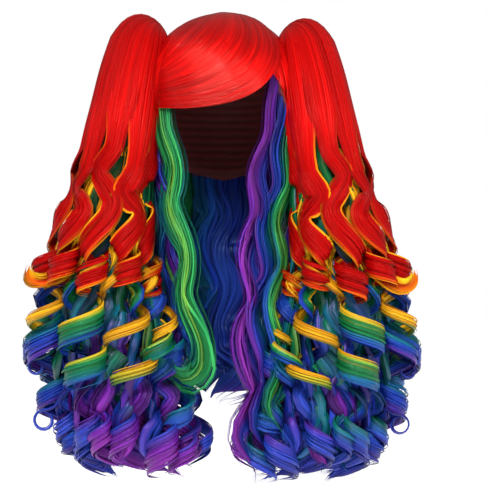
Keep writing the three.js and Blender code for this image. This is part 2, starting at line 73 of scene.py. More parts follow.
# How a lock is dyed: at each share of its length, the dyes from its upper edge to its lower edge, with the
# place of those between, from -1 to 1.
LOCK_DYES = {
    "red": {
        0.0: "red, red",
        0.36: "red, -0.5 bright_red, 0.8 red, red",
        0.5: "gold, -0.94 orange, -0.88 red, 0.7 red, deep_red",
        0.92: "yellow, -0.93 gold, -0.86 red, 0.74 red, 0.94 orange, gold",
        1.0: "yellow, -0.5 gold, -0.2 red, 0.7 red, gold",
    },
    "gold": {
        0.0: "orange, 0 gold, dark_green",
        0.25: "brown_gold, -0.7 gold, -0.2 yellow, 0.3 gold, 0.7 gold, brown_gold",
        0.7: "brown_gold, -0.6 gold, -0.1 yellow, 0.5 gold, green",
        0.85: "gold, -0.3 yellow, 0.2 lime, green",
        1.0: "lime, 0 lime, green",
    },
    "green": {
        0.0: "gold, -0.7 green, 0.5 green, teal",
        0.3: "yellow, -0.8 gold, -0.66 lime, -0.5 green, 0.45 green, 0.7 blue, blue",
        0.75: "gold, -0.8 lime, -0.6 green, 0.2 green, 0.6 teal, blue",
        1.0: "lime, -0.4 green, 0.4 teal, blue",
    },
    "blue": {
        0.0: "green, -0.3 teal, blue",
        0.35: "green, -0.7 teal, -0.3 blue, 0.6 blue, deep_blue",
        0.7: "teal, -0.6 blue, 0.4 blue, violet",
        1.0: "light_blue, 0 blue, deep_blue",
    },
    "violet": {
        0.0: "dark_green, 0 blue, teal",
        0.3: "blue, 0 violet, deep_violet",
        0.5: "blue, -0.6 violet, 0.3 violet, 0.7 magenta, deep_violet",
        1.0: "light_blue, -0.4 violet, 0.5 magenta, violet",
    },
    "sea": {
        0.0: "dark_green, 0 teal, green",
        0.4: "green, -0.3 teal, 0.4 blue, deep_blue",
        1.0: "teal, -0.4 blue, 0.5 light_blue, blue",
    },
    "indigo": {
        0.0: "dark_green, 0 blue, deep_blue",
        0.5: "violet, -0.6 blue, 0.5 light_blue, deep_blue",
        1.0: "light_blue, 0 blue, deep_blue",
    },
    "shade_green": {
        0.0: "dark_green, dark_green",
        0.5: "green, 0 dark_green, 0.6 green, dark_green",
        1.0: "teal, 0 dark_green, deep_blue",
    },
    "flip": {
        0.0: "red, red",
        0.35: "orange, -0.7 red, 0.5 red, gold",
        0.6: "yellow, -0.4 gold, 0 red, 0.4 orange, gold",
        1.0: "yellow, -0.2 gold, 0.4 orange, brown_gold",
    },
    "under_gold": {
        0.0: "orange, 0 gold, brown_gold",
        0.5: "brown_gold, -0.3 gold, 0.2 yellow, 0.7 gold, dark_green",
        1.0: "gold, 0 yellow, green",
    },
    "under_green": {
        0.0: "dark_green, 0 green, dark_green",
        1.0: "lime, -0.4 green, 0.5 dark_green, teal",
    },
    "shade_blue": {
        0.0: "dark_green, 0 green, dark_green",
        0.3: "green, 0 dark_green, teal",
        0.55: "teal, 0 blue, deep_blue",
        1.0: "blue, 0 deep_blue, deep_violet",
    },
    "shade_violet": {
        0.0: "dark_green, 0 green, dark_green",
        0.35: "dark_green, 0 teal, 0.6 deep_blue, dark_green",
        0.6: "blue, 0 deep_violet, violet",
        1.0: "violet, 0 deep_violet, violet",
    },
    # The smooth hair's dye: its bright_red rows at shares 0.45 to 0.56 are painted sheen, a lighter band of
    # dye that adds to the gloss.
    "crown": {
        0.0: "smooth_red, smooth_red",
        0.28: "smooth_red, smooth_red",
        0.45: "bright_red, bright_red",
        0.56: "bright_red, bright_red",
        0.76: "smooth_red, smooth_red",
        1.0: "smooth_red, smooth_red",
    },
    "base_green": {
        0.0: "dark_green, -0.4 green, 0 light_green, 0.4 green, dark_green",
        0.3: "teal, -0.75 green, -0.5 light_green, -0.3 green, -0.1 light_green, 0.1 lime, 0.25 light_green, "
             "0.5 green, 0.65 light_green, 0.8 green, teal",
        0.7: "blue, -0.7 teal, -0.4 light_green, -0.2 green, 0.1 light_green, 0.35 lime, 0.5 light_green, "
             "0.75 green, light_green",
        1.0: "green, -0.5 light_green, 0 green, 0.5 dark_green, green",
    },
    "base_violet": {
        0.0: "deep_violet, 0 violet, blue",
        0.4: "violet, -0.7 blue, -0.4 deep_violet, -0.15 violet, 0 magenta, 0.15 violet, 0.4 blue, "
             "0.6 deep_violet, 0.8 light_blue, deep_blue",
        1.0: "violet, -0.5 blue, -0.1 violet, 0.2 magenta, 0.4 blue, 0.7 violet, deep_violet",
    },
    "base_violet_blue": {
        0.0: "deep_violet, 0 violet, blue",
        0.4: "violet, -0.7 magenta, -0.45 deep_violet, -0.2 violet, 0 deep_blue, 0.2 blue, 0.45 light_blue, "
             "0.65 blue, 0.85 light_blue, blue",
        1.0: "violet, -0.5 magenta, -0.1 violet, 0.2 deep_violet, 0.5 blue, blue",
    },
    "base_blue_green": {
        0.0: "light_blue, -0.4 teal, 0 bright_green, 0.5 lime, bright_green",
        0.4: "light_blue, -0.4 light_blue, -0.2 teal, 0 bright_green, 0.25 light_green, 0.45 bright_green, "
             "0.65 lime, 0.8 bright_green, bright_green",
        1.0: "blue, -0.3 light_blue, 0.1 teal, 0.5 green, light_green",
    },
    "base_blue": {
        0.0: "deep_blue, 0 blue, teal",
        0.5: "violet, -0.6 blue, -0.3 deep_blue, 0 light_blue, 0.3 blue, 0.6 teal, 0.8 deep_blue, teal",
        1.0: "violet, -0.3 blue, 0.3 deep_blue, 0.7 blue, deep_blue",
    },
}

# Crown of the frame, repeated here.
HOLLOW_HALF = np.array([80.0, 97.0, 90.0])
CROWN_HALF = np.array([96.0, 108.0, 100.0])
WIDEST_Z = -90.0
SKIRT_TAPER = 0.12
RIM = {"frontZ": -46.0, "sideZ": -150.0, "backZ": -185.0, "frontDeg": 28.0, "sideDeg": 75.0}

# Fringe, drawn from the front as x and z: the four points that steer its first and its last strand.
FRINGE_TOP = np.array([[-14.0, 9.0], [-38.0, 6.0], [-62.0, -14.0], [-70.0, -50.0]])
FRINGE_LOW = np.array([[30.0, 5.0], [90.0, -30.0], [72.0, -118.0], [-74.0, -105.0]])

# Left pigtail of the frame: z, axis x, axis y, half sizes along x and y.
PIGTAIL_SECTIONS = np.array([
    (3, -97, -2, 4, 4),
    (-8, -97, -4, 24, 28),
    (-27, -99, -8, 33, 42),
    (-60, -104, -18, 39, 55),
    (-110, -111, -32, 45, 62),
    (-150, -117, -40, 48, 62),
    (-200, -128, -46, 54, 58),
    (-260, -135, -50, 62, 57),
    (-305, -141, -52, 72, 60),
    (-350, -139, -52, 80, 62),
    (-400, -133, -52, 86, 62),
    (-450, -119, -50, 82, 58),
    (-500, -100, -48, 70, 50),
    (-540, -90, -46, 52, 40),
], dtype=float)
RIGHT_PIGTAIL_DROP = 5.0
HOOD_EQUATOR_Z = -75.0
HOOD_RISE = 85.0
HOOD_FULLNESS = 2.5
HOOD_HALF = (42.5, 58.0)
HOOD_POLE = np.array([0.86, 0.06, 0.5])

# Layers of a pigtail: rootZ, flare, growth, root width and disc radius, as in the frame.
LAYERS = {
    "red": {"rootZ": -136, "flare": 0, "growth": 36, "rootWidth": 22, "disc": 0},
    "gold": {"rootZ": -267, "flare": 38, "growth": 40, "rootWidth": 12, "disc": 26},
    "green": {"rootZ": -275, "flare": 40, "growth": 40, "rootWidth": 12, "disc": 22},
    "blue": {"rootZ": -283, "flare": 42, "growth": 40, "rootWidth": 11, "disc": 18},
    "violet": {"rootZ": -390, "flare": 50, "growth": 40, "rootWidth": 16, "disc": 16},
}
CURL_TIGHTENING = 1.35
TIP_TAPER_FROM = 0.84

# A red lock hangs in slow waves and rolls up at its end.
RED_WAVES = 1.25
RED_ROLL_FROM = 0.7
RED_ROLL_TURNS = 0.8
RED_ROLL_SPREAD = 0.2
RED_END_DROP = 8.0
RED_WAVE_DEPTH = 0.35
RED_WAVE_BREADTH = 0.85

# The last outer red curl flips out to the side: the four points that steer it, and half its width.
FLIP = np.array([
    [-158.0, -86.0, -262.0], [-180.0, -92.0, -308.0], [-224.0, -88.0, -316.0], [-219.0, -84.0, -285.0]])
FLIP_HALF = 9.0
FLIP_DEPTH = 3.0
FLIP_STEPS = 24
FLIP_STRANDS = 22

# Locks of the left pigtail: layer, dye, bearing, reach, curlZ, endZ, curl radius, turns, width.
PIGTAIL_LOCKS = [
    ("red", "red", 78, 0.93, -152, -304, 13, 2.1, 24),
    ("red", "red", 42, 0.93, -172, -300, 13, 1.9, 26),
    ("red", "red", 6, 0.92, -146, -308, 14, 2.2, 26),
    ("red", "red", -30, 0.94, -174, -300, 13, 1.7, 28),
    ("red", "red", -66, 0.84, -156, -314, 14, 2.0, 28),
    ("red", "red", 116, 0.92, -168, -300, 14, 1.9, 28),
    ("red", "red", 156, 0.92, -150, -308, 14, 2.1, 30),
    ("red", "red", -160, 0.92, -172, -302, 14, 1.8, 30),
    ("gold", "gold", -27, 0.84, -280, -436, 25, 2.8, 14),
    ("gold", "gold", 56, 0.94, -282, -372, 18, 1.6, 13),
    ("gold", "gold", 174, 0.85, -280, -400, 20, 2.1, 16),
    ("green", "green", 17, 0.88, -288, -428, 24, 2.6, 30),
    ("green", "green", 128, 0.88, -290, -434, 21, 2.5, 28),
    ("blue", "blue", 88, 0.85, -296, -516, 20, 3.4, 26),
    ("blue", "blue", -74, 0.9, -300, -446, 18, 2.1, 26),
    ("blue", "blue", -148, 0.84, -298, -500, 20, 2.9, 28),
    ("violet", "indigo", 46, 0.8, -408, -518, 19, 1.7, 28),
    ("violet", "violet", 4, 0.78, -404, -522, 19, 1.8, 28),
    ("violet", "violet", -36, 0.84, -410, -526, 19, 1.7, 28),
    ("violet", "violet", -80, 0.86, -404, -520, 17, 1.8, 26),
    ("violet", "indigo", 150, 0.8, -406, -510, 19, 1.6, 30),
]

# Looser curls between the main ones, in the same columns.
LOOSE_LOCKS = [
    ("violet", "indigo", 84, 0.86, -410, -520, 17, 1.8, 20),
    ("violet", "indigo", 66, 0.82, -430, -530, 15, 1.6, 18),
    ("violet", "violet", 24, 0.92, -414, -512, 15, 1.7, 18),
    ("violet", "violet", -58, 0.96, -416, -530, 15, 1.7, 18),
    ("violet", "indigo", -98, 1.08, -416, -516, 14, 1.7, 16),
    ("blue", "blue", 66, 0.84, -300, -420, 22, 1.7, 18),
    ("blue", "blue", 108, 0.82, -306, -452, 20, 2.0, 18),
    ("blue", "green", -50, 0.96, -294, -420, 18, 1.8, 16),
    ("gold", "gold", -64, 1.0, -284, -394, 14, 2.0, 10),
    ("green", "sea", -62, 0.92, -376, -470, 20, 1.4, 20),
]
# Dyes that differ in the right pigtail, by the left one's dye and bearing.
RIGHT_DYES = {
    ("indigo", 46): "sea",
    ("violet", 4): "indigo",
    ("violet", -36): "indigo",
    ("violet", 24): "sea",
    ("violet", -58): "sea",
    ("indigo", 84): "sea",
    ("indigo", -98): "violet",
}

# Thin curls that stand off the left pigtail: dye, start x, y and z, middle x and z of the ring at the end,
# its radius and its turns.
WISPS = [
    ("indigo", -170, -78, -422, -203, -462, 11.5, 1.1),
    ("sea", -184, -66, -372, -213, -402, 9.0, 0.85),
]
WISP_HALF = 3.2
WISP_DEPTH = 1.0
WISP_STRANDS = 5
# Steps up to the ring and round it, how far the ring closes and comes forward, and its bend in radii.
WISP_STEPS = (6, 18)
WISP_CLOSING = 0.25
WISP_FORWARD = 6
WISP_BEND = 1.4

# Base locks: node, dye, rim azimuth, mid x and y, end x, y and z, width, wave, wave length, phase and the
# share of the width at the root.
BASE_LOCKS = [
    ("base_left_green", "base_green", -52, -46, -86, -10, -88, -492, 47, 8, 104, 200, 0.75),
    ("base_left_violet", "base_violet", -72, -54, -58, -36, -44, -424, 38, 6, 90, 160, 0.9),
    ("base_left_blue", "base_blue", -98, -70, -10, -54, 2, -450, 42, 7, 90, 200, 1.1),
    ("base_back_green", "base_green", -132, -64, 66, -60, 62, -440, 70, 8, 100, 60, 1.1),
    ("base_back_blue", "base_blue", 180, 0, 94, 0, 86, -450, 102, 8, 100, 120, 1.1),
    ("base_back_violet", "base_violet", 132, 64, 66, 60, 62, -440, 70, 8, 100, 180, 1.1),
    ("base_right_green", "base_green", 84, 64, -30, 56, -18, -450, 40, 6, 90, 20, 1.1),
    ("base_right_blue", "base_blue_green", 64, 50, -60, 46, -46, -456, 34, 6, 90, 100, 0.8),
    ("base_right_violet", "base_violet_blue", 46, 34, -88, 24, -92, -534, 30, 7, 96, 190, 0.7),
]
# Looser locks at the front, in the same columns; each joins the hair of the lock it is named after.
LOOSE_BASE = [
    ("base_right_blue", "base_blue", 54, 47, -80, 38, -86, -514, 28, 9, 100, 60, 0.7),
    ("base_right_green", "base_green", 62, 63, -78, 54, -90, -484, 28, 9, 96, 150, 0.7),
]
BASE_MID_SHARE = 0.42
BASE_WAVE_FROM = 0.3
BASE_WAVE_DEPTH = 0.5
BASE_TUCK = 0.13
BASE_WIDENING = 0.4
BASE_TIP_CURL = {"from": 0.74, "turns": 1.3, "radius": 11.0, "loss": 0.5}
FRONT_LOCKS = ("base_left_green", "base_right_violet")
BASE_HOOK = {"lock": "base_left_green", "from": 0.8, "degrees": 215.0, "radius": 17.0, "loss": 0.6}


# Numbers


def ease(low, high, value):
    """A smooth step from 0 at low to 1 at high."""
    share = np.clip((np.asarray(value, dtype=float) - low) / (high - low), 0, 1)
    return share * share * (3 - 2 * share)


def mix(a, b, share):
    """From a at share 0 to b at share 1."""
    return a + (b - a) * share


def unit(vectors):
    """Vectors made one long."""
    return vectors / np.maximum(np.linalg.norm(vectors, axis=-1, keepdims=True), 1e-9)


def daylight(rgb):
    """Linear light of a colour out of 255."""
    c = np.asarray(rgb, dtype=float) / 255
    return np.where(c <= 0.04045, c / 12.92, ((c + 0.055) / 1.055) ** 2.4)


LIGHT = {name: daylight(rgb) for name, rgb in DYES.items()}


def dye_band(row, across):
    """Colours of one row of LOCK_DYES at places across a lock."""
    first, *between, last = row.split(", ")
    stops = [("-1", first), *(stop.split() for stop in between), ("1", last)]
    places = [float(place) for place, _ in stops]
    lights = np.array([LIGHT[dye] for _, dye in stops])
    return np.stack([np.interp(across, places, lights[:, i]) for i in range(3)], axis=-1)


def dye_colours(name, across, along):
    """Colours of a lock's dye at places across it and shares of its length."""
    rows = LOCK_DYES[name]
    shares = np.array(list(rows))
    bands = np.stack([dye_band(row, across) for row in rows.values()])
    at = np.clip(np.searchsorted(shares, along, side="right") - 1, 0, len(rows) - 2)
    share = np.clip((along - shares[at]) / (shares[at + 1] - shares[at]), 0, 1)[..., None]
    low = np.take_along_axis(bands, at[None, ..., None], axis=0)[0]
    high = np.take_along_axis(bands, (at + 1)[None, ..., None], axis=0)[0]
    return mix(low, high, share)


def bezier(corners, steps):
    """Points along curves that four corners steer, the corners being the last axis but one."""
    t = np.linspace(0, 1, steps)[:, None]
    weights = ((1 - t) ** 3, 3 * t * (1 - t) ** 2, 3 * t * t * (1 - t), t ** 3)
    return sum(weight * corners[..., i, None, :] for i, weight in enumerate(weights))


# Strands

CORNERS = 3
TURNED = [1, 2, 0]
MIRROR = np.array([-1.0, 1.0, 1.0])
# Hair in one unit of the map along a strand, and how far each strand's map moves on from the last one's.
MAP_LENGTH = 40
MAP_SHIFT = (1.37, 0.61)


def length_along(path, axis):
    """Length of paths up to each of their steps."""
    steps = np.diff(path, axis=axis, prepend=path.take([0], axis))
    return np.cumsum(np.linalg.norm(steps, axis=-1), axis=axis)


class Strands:
    """Many thin closed strands, gathered into one mesh."""

    def __init__(self):
        self.points, self.colours, self.places = [], [], []
        self.loops, self.sizes, self.normals = [], [], []
        self.total = 0
        self.made = 0

    def keep(self, points, colours, places, faces, normals):
        """Points with their dyes and map places, and blocks of faces with the normals of their corners."""
        self.points.append(points.reshape(-1, 3))
        self.colours.append(colours.reshape(-1, 3))
        self.places.append(places.reshape(-1, 2))
        for block, block_normals in zip(faces, normals):
            self.loops.append(block.ravel())
            self.sizes.append(np.full(len(block), block.shape[1]))
            self.normals.append(block_normals.reshape(-1, 3))
        self.total += points.size // 3

    def add(self, path, across, out, half_width, half_thick, colours, arch):
        """path, across and out are strands by steps by 3; the half sizes and colours follow them.

        arch is how far, in radians, a strand's shading turns from its middle to its edge.
        """
        strands, steps = path.shape[:2]
        wide = across * half_width[..., None]
        thick = out * half_thick[..., None]
        rings = np.stack([path - wide, path + thick, path + wide], axis=2)
        length = length_along(path, 1)
        number = (self.made + np.arange(strands))[:, None, None]
        u = np.broadcast_to(np.array([0.0, 0.5, 1.0]), rings.shape[:3]) + MAP_SHIFT[0] * number
        v = np.broadcast_to((length / MAP_LENGTH)[..., None], rings.shape[:3]) + MAP_SHIFT[1] * number
        index = self.total + np.arange(strands * steps * CORNERS).reshape(strands, steps, CORNERS)
        near, far = index[:, :-1], index[:, 1:]
        sides = np.stack([near, far, far[..., TURNED], near[..., TURNED]], axis=-1).reshape(-1, 4)
        ends = np.concatenate([index[:, 0], index[:, -1][:, ::-1]])
        forward = np.cross(across, out)
        edge = math.sin(arch) * across
        top = np.stack([math.cos(arch) * out - edge, out, math.cos(arch) * out + edge], axis=2)
        next_top = top[:, :, TURNED]
        shading = np.stack([top[:, :-1], top[:, 1:], next_top[:, 1:], next_top[:, :-1]], axis=3)
        shading[:, :, 2, 0::3] = -out[:, :-1, None]
        shading[:, :, 2, 1:3] = -out[:, 1:, None]
        caps = np.concatenate([forward[:, 0], -forward[:, -1]])
        caps = np.repeat(caps[:, None], CORNERS, axis=1)
        colours = np.repeat(colours[:, :, None], CORNERS, axis=2)
        self.keep(rings, colours, np.stack([u, v], axis=-1), [sides, ends], [shading, caps])
        self.made += strands

    def add_body(self, rings, colours, u):
        """One closed body through rings of points, with the place across it for each corner."""
        steps, corners = rings.shape[:2]
        length = length_along(rings.mean(axis=1), 0)
        index = self.total + np.arange(steps * corners).reshape(steps, corners)
        near, far = index[:-1], index[1:]
        turned = np.roll(np.arange(corners), -1)
        sides = np.stack([near, far, far[:, turned], near[:, turned]], axis=-1).reshape(-1, 4)
        ends = np.stack([index[0], index[-1][::-1]])
        v = np.broadcast_to((length / MAP_LENGTH)[:, None], (steps, corners))
        u = np.broadcast_to(u, (steps, corners)) + MAP_SHIFT[0] * self.made
        along = np.gradient(rings, axis=0)
        around = np.roll(rings, -1, axis=1) - np.roll(rings, 1, axis=1)
        out = unit(np.cross(along, around))
        next_out = out[:, turned]
        shading = np.stack([out[:-1], out[1:], next_out[1:], next_out[:-1]], axis=2)
        caps = unit(np.stack([rings[0] - rings[1], rings[-1] - rings[-2]]).mean(axis=1))
        caps = np.repeat(caps[:, None], corners, axis=1)
        self.keep(rings, colours, np.stack([u, v], axis=-1), [sides, ends], [shading, caps])
        self.made += 1


def hair_piece(name, strands, material, mirrored=False, drop=0.0):
    """A mesh of strands under a name, with its dye and its place along each strand."""
    points = np.concatenate(strands.points) * MM
    sizes = np.concatenate(strands.sizes).astype(np.int32)
    loops = np.concatenate(strands.loops).astype(np.int32)
    normals = np.concatenate(strands.normals)
    starts = np.concatenate([[0], np.cumsum(sizes)[:-1]]).astype(np.int32)
    if mirrored:
        points = points * MIRROR
        own_start = np.repeat(starts, sizes)
        own_size = np.repeat(sizes, sizes)
        swapped = 2 * own_start + own_size - 1 - np.arange(len(loops))
        loops = loops[swapped]
        normals = normals[swapped] * MIRROR
    points = points - np.array([0.0, 0.0, drop * MM])
    mesh = bpy.data.meshes.new(name)
    mesh.vertices.add(len(points))
    mesh.vertices.foreach_set("co", points.astype(np.float32).ravel())
    mesh.loops.add(len(loops))
    mesh.loops.foreach_set("vertex_index", loops)
    mesh.polygons.add(len(sizes))
    mesh.polygons.foreach_set("loop_start", starts)
    mesh.polygons.foreach_set("use_smooth", np.ones(len(sizes), dtype=bool))
    mesh.update(calc_edges=True)
    dye = mesh.color_attributes.new("dye", "FLOAT_COLOR", "POINT")
    colours = np.clip(np.concatenate(strands.colours), 0, 1)
    dye.data.foreach_set("color", np.c_[colours, np.ones(len(colours))].astype(np.float32).ravel())
    uv = mesh.uv_layers.new(name="along")
    places = np.concatenate(strands.places)[loops]
    uv.data.foreach_set("uv", places.astype(np.float32).ravel())
    mesh.normals_split_custom_set(unit(normals).tolist())
    piece = bpy.data.objects.new(name, mesh)
    bpy.context.collection.objects.link(piece)
    piece.data.materials.append(material)
    return piece


def worn(piece, slot, *nodes):
    """A piece that goes with the wig's one body, in the place of the nodes it stands for."""
    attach(piece, "root")
    for node in nodes:
        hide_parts(node)


# Materials


def add_node(nodes, kind, inputs=None, **settings):
    """A shader node with its settings and the plain values of its sockets."""
    node = nodes.new("ShaderNode" + kind)
    for name, value in settings.items():
        setattr(node, name, value)
    for socket, value in (inputs or {}).items():
        node.inputs[socket].default_value = value
    return node


def new_material(name):
    """A material with its nodes, its links and its Principled shader."""
    material = bpy.data.materials.new(name)
    material.use_nodes = True
    tree = material.node_tree
    return material, tree.nodes, tree.links, tree.nodes["Principled BSDF"]


def hair_streaks():
    """Group: the dye with fine lighter and darker fibres along each strand, and their height."""
    group = bpy.data.node_groups.new("hair_streaks", "ShaderNodeTree")
    for name, way, kind in (
        ("Depth", "INPUT", "Float"),
        ("Softness", "INPUT", "Float"),
        ("Color", "OUTPUT", "Color"),
        ("Roughness", "OUTPUT", "Float"),
        ("Height", "OUTPUT", "Float"),
    ):
        group.interface.new_socket(name, in_out=way, socket_type="NodeSocket" + kind)
    nodes = group.nodes
    given = nodes.new("NodeGroupInput")
    result = nodes.new("NodeGroupOutput")
    dye = add_node(nodes, "Attribute", attribute_name="dye")
    along = add_node(nodes, "UVMap", uv_map="along")
    stretch = add_node(nodes, "Mapping", {"Scale": (7.0, 0.55, 1.0)})
    fibres = add_node(nodes, "TexNoise", {"Scale": 1.0, "Detail": 3.0, "Roughness": 0.6},
                      noise_dimensions="2D")
    shade = add_node(nodes, "MapRange", {"From Min": 0.25, "From Max": 0.75})
    centred = add_node(nodes, "Math", {1: 0.5}, operation="SUBTRACT")
    bright = add_node(nodes, "Math", {2: 1.0}, operation="MULTIPLY_ADD")
    dyed = add_node(nodes, "VectorMath", operation="SCALE")
    rough = add_node(nodes, "MapRange", {"To Min": -0.06, "To Max": 0.06})
    soft = add_node(nodes, "Math", operation="ADD")
    for source, target in (
        (along.outputs["UV"], stretch.inputs["Vector"]),
        (stretch.outputs["Vector"], fibres.inputs["Vector"]),
        (fibres.outputs["Fac"], shade.inputs["Value"]),
        (shade.outputs["Result"], centred.inputs[0]),
        (centred.outputs["Value"], bright.inputs[0]),
        (given.outputs["Depth"], bright.inputs[1]),
        (dye.outputs["Color"], dyed.inputs[0]),
        (bright.outputs["Value"], dyed.inputs["Scale"]),
        (dyed.outputs["Vector"], result.inputs["Color"]),
        (shade.outputs["Result"], rough.inputs["Value"]),
        (rough.outputs["Result"], soft.inputs[0]),
        (given.outputs["Softness"], soft.inputs[1]),
        (soft.outputs["Value"], result.inputs["Roughness"]),
        (shade.outputs["Result"], result.inputs["Height"]),
    ):
        group.links.new(source, target)
    return group


STREAKS = hair_streaks()


def hair_material(name, depth, softness, gloss, tint):
    """Hair with streaks of a depth, a softness of its gloss, and the gloss's strength and colour."""
    material, nodes, links, shader = new_material(name)
    streaks = nodes.new("ShaderNodeGroup")
    streaks.node_tree = STREAKS
    streaks.inputs["Depth"].default_value = depth
    streaks.inputs["Softness"].default_value = softness
    bump = add_node(nodes, "Bump", {"Strength": 0.35, "Distance": 0.0006})
    links.new(streaks.outputs["Color"], shader.inputs["Base Color"])
    links.new(streaks.outputs["Roughness"], shader.inputs["Roughness"])
    links.new(streaks.outputs["Height"], bump.inputs["Height"])
    links.new(bump.outputs["Normal"], shader.inputs["Normal"])
    shader.inputs["Specular IOR Level"].default_value = gloss
    shader.inputs["Specular Tint"].default_value = (*tint, 1)
    return material


# Depth of the streaks, softness, strength and colour of the gloss.
HAIR = {
    "crown": hair_material("smooth_red_hair", 0.5, 0.2, 0.8, (1.0, 0.24, 0.2)),
    "red": hair_material("red_hair", 0.5, 0.3, 0.45, (0.7, 0.1, 0.09)),
    "gold": hair_material("gold_hair", 0.6, 0.3, 0.6, (0.86, 0.62, 0.2)),
    "green": hair_material("green_hair", 0.7, 0.3, 0.75, (0.2, 0.48, 0.32)),
    "blue": hair_material("blue_hair", 0.7, 0.3, 0.75, (0.18, 0.28, 0.63)),
    "violet": hair_material("violet_hair", 0.7, 0.3, 0.75, (0.38, 0.2, 0.6)),
}


def woven_material(name, rows_colour, gap_colour, scale, roughness):
    """A material with fine rows round the piece, worn unevenly."""
    material, nodes, links, shader = new_material(name)
    place = add_node(nodes, "TexCoord")
    rows = add_node(nodes, "TexWave", {"Scale": scale, "Distortion": 1.2, "Detail": 2.0, "Detail Scale": 3.0},
                    wave_type="BANDS", bands_direction="Z")
    wear = add_node(nodes, "TexNoise", {"Scale": 160.0, "Detail": 3.0})
    tone = add_node(nodes, "MixRGB", {"Color1": gap_colour, "Color2": rows_colour})
    rough = add_node(nodes, "MapRange", {"To Min": roughness - 0.1, "To Max": roughness + 0.1})
    bump = add_node(nodes, "Bump", {"Strength": 0.5, "Distance": 0.0008})
    for texture in (rows, wear):
        links.new(place.outputs["Object"], texture.inputs["Vector"])
    links.new(rows.outputs["Fac"], tone.inputs["Fac"])
    links.new(rows.outputs["Fac"], bump.inputs["Height"])
    links.new(wear.outputs["Fac"], rough.inputs["Value"])
    links.new(tone.outputs["Color"], shader.inputs["Base Color"])
    links.new(rough.outputs["Result"], shader.inputs["Roughness"])
    links.new(bump.outputs["Normal"], shader.inputs["Normal"])
    return material


# Bundles

LOCK_EDGE = 0.97
# Neighbours that share a tone, and how strong it is beside each strand's own.
TONE_PATCH = 5
PATCH_SHARE = 0.7
# Least width of a strand, and what chance adds to it.
STRAND_WIDTH = (0.8, 0.5)
DYE_DRIFT = 0.05
WAVE_STARTS = (0, 6)


def ribbon_axes(spine, facing):
    """Across and out of ribbons along spines, the last axis but one being the steps."""
    forward = unit(np.gradient(spine, axis=-2))
    across = unit(np.cross(facing, forward))
    return across, np.cross(forward, across)


def scatter(count):
    """Places across a lock from edge to edge, in even but not regular order."""
    return np.linspace(-LOCK_EDGE, LOCK_EDGE, count) + chance.uniform(-0.5, 0.5, count) / count


def clumps(place, number):
    """The clump that each place falls into and the middle of that clump."""
    own = np.clip(((place + 1) / 2 * number).astype(int), 0, number - 1)
    return own, (own + 0.5) / number * 2 - 1


def strand_tones(count, shade):
    """Lighter and darker strands, with neighbours much alike."""
    patches = chance.normal(0, PATCH_SHARE * shade, count // TONE_PATCH + 1)
    patches = np.repeat(patches, TONE_PATCH)[:count]
    return (1 + patches + shade * chance.uniform(-1, 1, count))[:, None, None]


def strand_widths(count):
    """Strands a little wider and narrower than even ones."""
    least, more = STRAND_WIDTH
    return least + more * chance.random((count, 1))


def own_waves(count, least, most, along):
    """Turns of each strand's own waves along it."""
    return math.tau * chance.uniform(least, most, (count, 1)) * along


def wave_starts(count):
    """Where in its wave each strand starts, in radians."""
    return chance.uniform(*WAVE_STARTS, (count, 1))


STRAND_ARCH = math.radians(42)
SMOOTH_ARCH = math.radians(26)
LOCK_TILT = math.radians(40)
TIP_LOSS = 0.96


def lay(strands, path, out, across, u, breadth, dye, along, side,
        shade=0.16, ends=0.1, fineness=2.3, round_share=0.5, tilt=LOCK_TILT, point=0.12):
    """Strands along their paths.

    breadth is half the lock's width, which their own width follows; side is 1 for the strands that face out
    and -1 for those at the back of the lock. tilt is how far the strands at the lock's edges lean outwards.
    """
    count = len(path)
    lean = tilt * u
    face = unit(out * (side * np.cos(lean))[..., None] + across * np.sin(lean)[..., None])
    forward = unit(np.gradient(path, axis=1))
    flat = unit(np.cross(face, forward))
    face = np.cross(forward, flat)
    stop = 1 - chance.uniform(0, ends, (count, 1))
    tip = 1 - TIP_LOSS * ease(stop - point, stop, along)
    wide = fineness * breadth / count * strand_widths(count) * tip
    place = np.clip(u + chance.normal(0, DYE_DRIFT, (count, 1)), -1, 1)
    colours = dye_colours(dye, place, np.broadcast_to(along, u.shape)) * strand_tones(count, shade)
    strands.add(path, flat, face, wide, wide * round_share, colours, STRAND_ARCH)


BODY_CORNERS = 10
# A body's dye is darker than its strands' by these shares, for locks and for the red hood and crown: painted
# shade where it shows between strands.
BODY_PAINTED_SHADE = 0.8
RED_BODY_PAINTED_SHADE = 0.9
# What a body loses at its tip, and from what share of its length.
BODY_TIP = (0.97, 0.86)


def ribbon_body(strands, spine, across, out, half_width, half_depth, dye, along, count):
    """The close-packed middle of a lock: a lens section along its spine."""
    turn = math.tau * (np.arange(BODY_CORNERS) + 0.5) / BODY_CORNERS
    u, d = -np.cos(turn), np.sin(turn)
    loss, start = BODY_TIP
    tip = (1 - loss * ease(start, 1, along))[:, None, None]
    rings = spine[:, None] + tip * (across[:, None] * (half_width[:, None] * u)[..., None]
                                    + out[:, None] * (half_depth * d)[None, :, None])
    grid_u = np.broadcast_to(u, rings.shape[:2])
    # The body's darker dye is painted shade where it shows between the strands.
    colours = BODY_PAINTED_SHADE * dye_colours(dye, grid_u, np.broadcast_to(along[:, None], rings.shape[:2]))
    strands.add_body(rings, colours, u * count / 2)


# Clumps of a hanging lock: waves across and in depth, depth of those, and how far a clump closes up.
CLUMP_WAVES = (1.6, 1.3)
CLUMP_RIPPLE = 0.25
CLUMP_CLOSING = 0.6
# Strands of a hanging lock: their own waves, how far these reach, and the levels at which strands lie.
HANGING_WAVES = (1, 3)
HANGING_DRIFT = 0.06
HANGING_LEVELS = (0.65, 1)
HANGING_ROUNDING = 0.7
HANGING_ENDS = 0.14
HANGING_BODY = 0.3


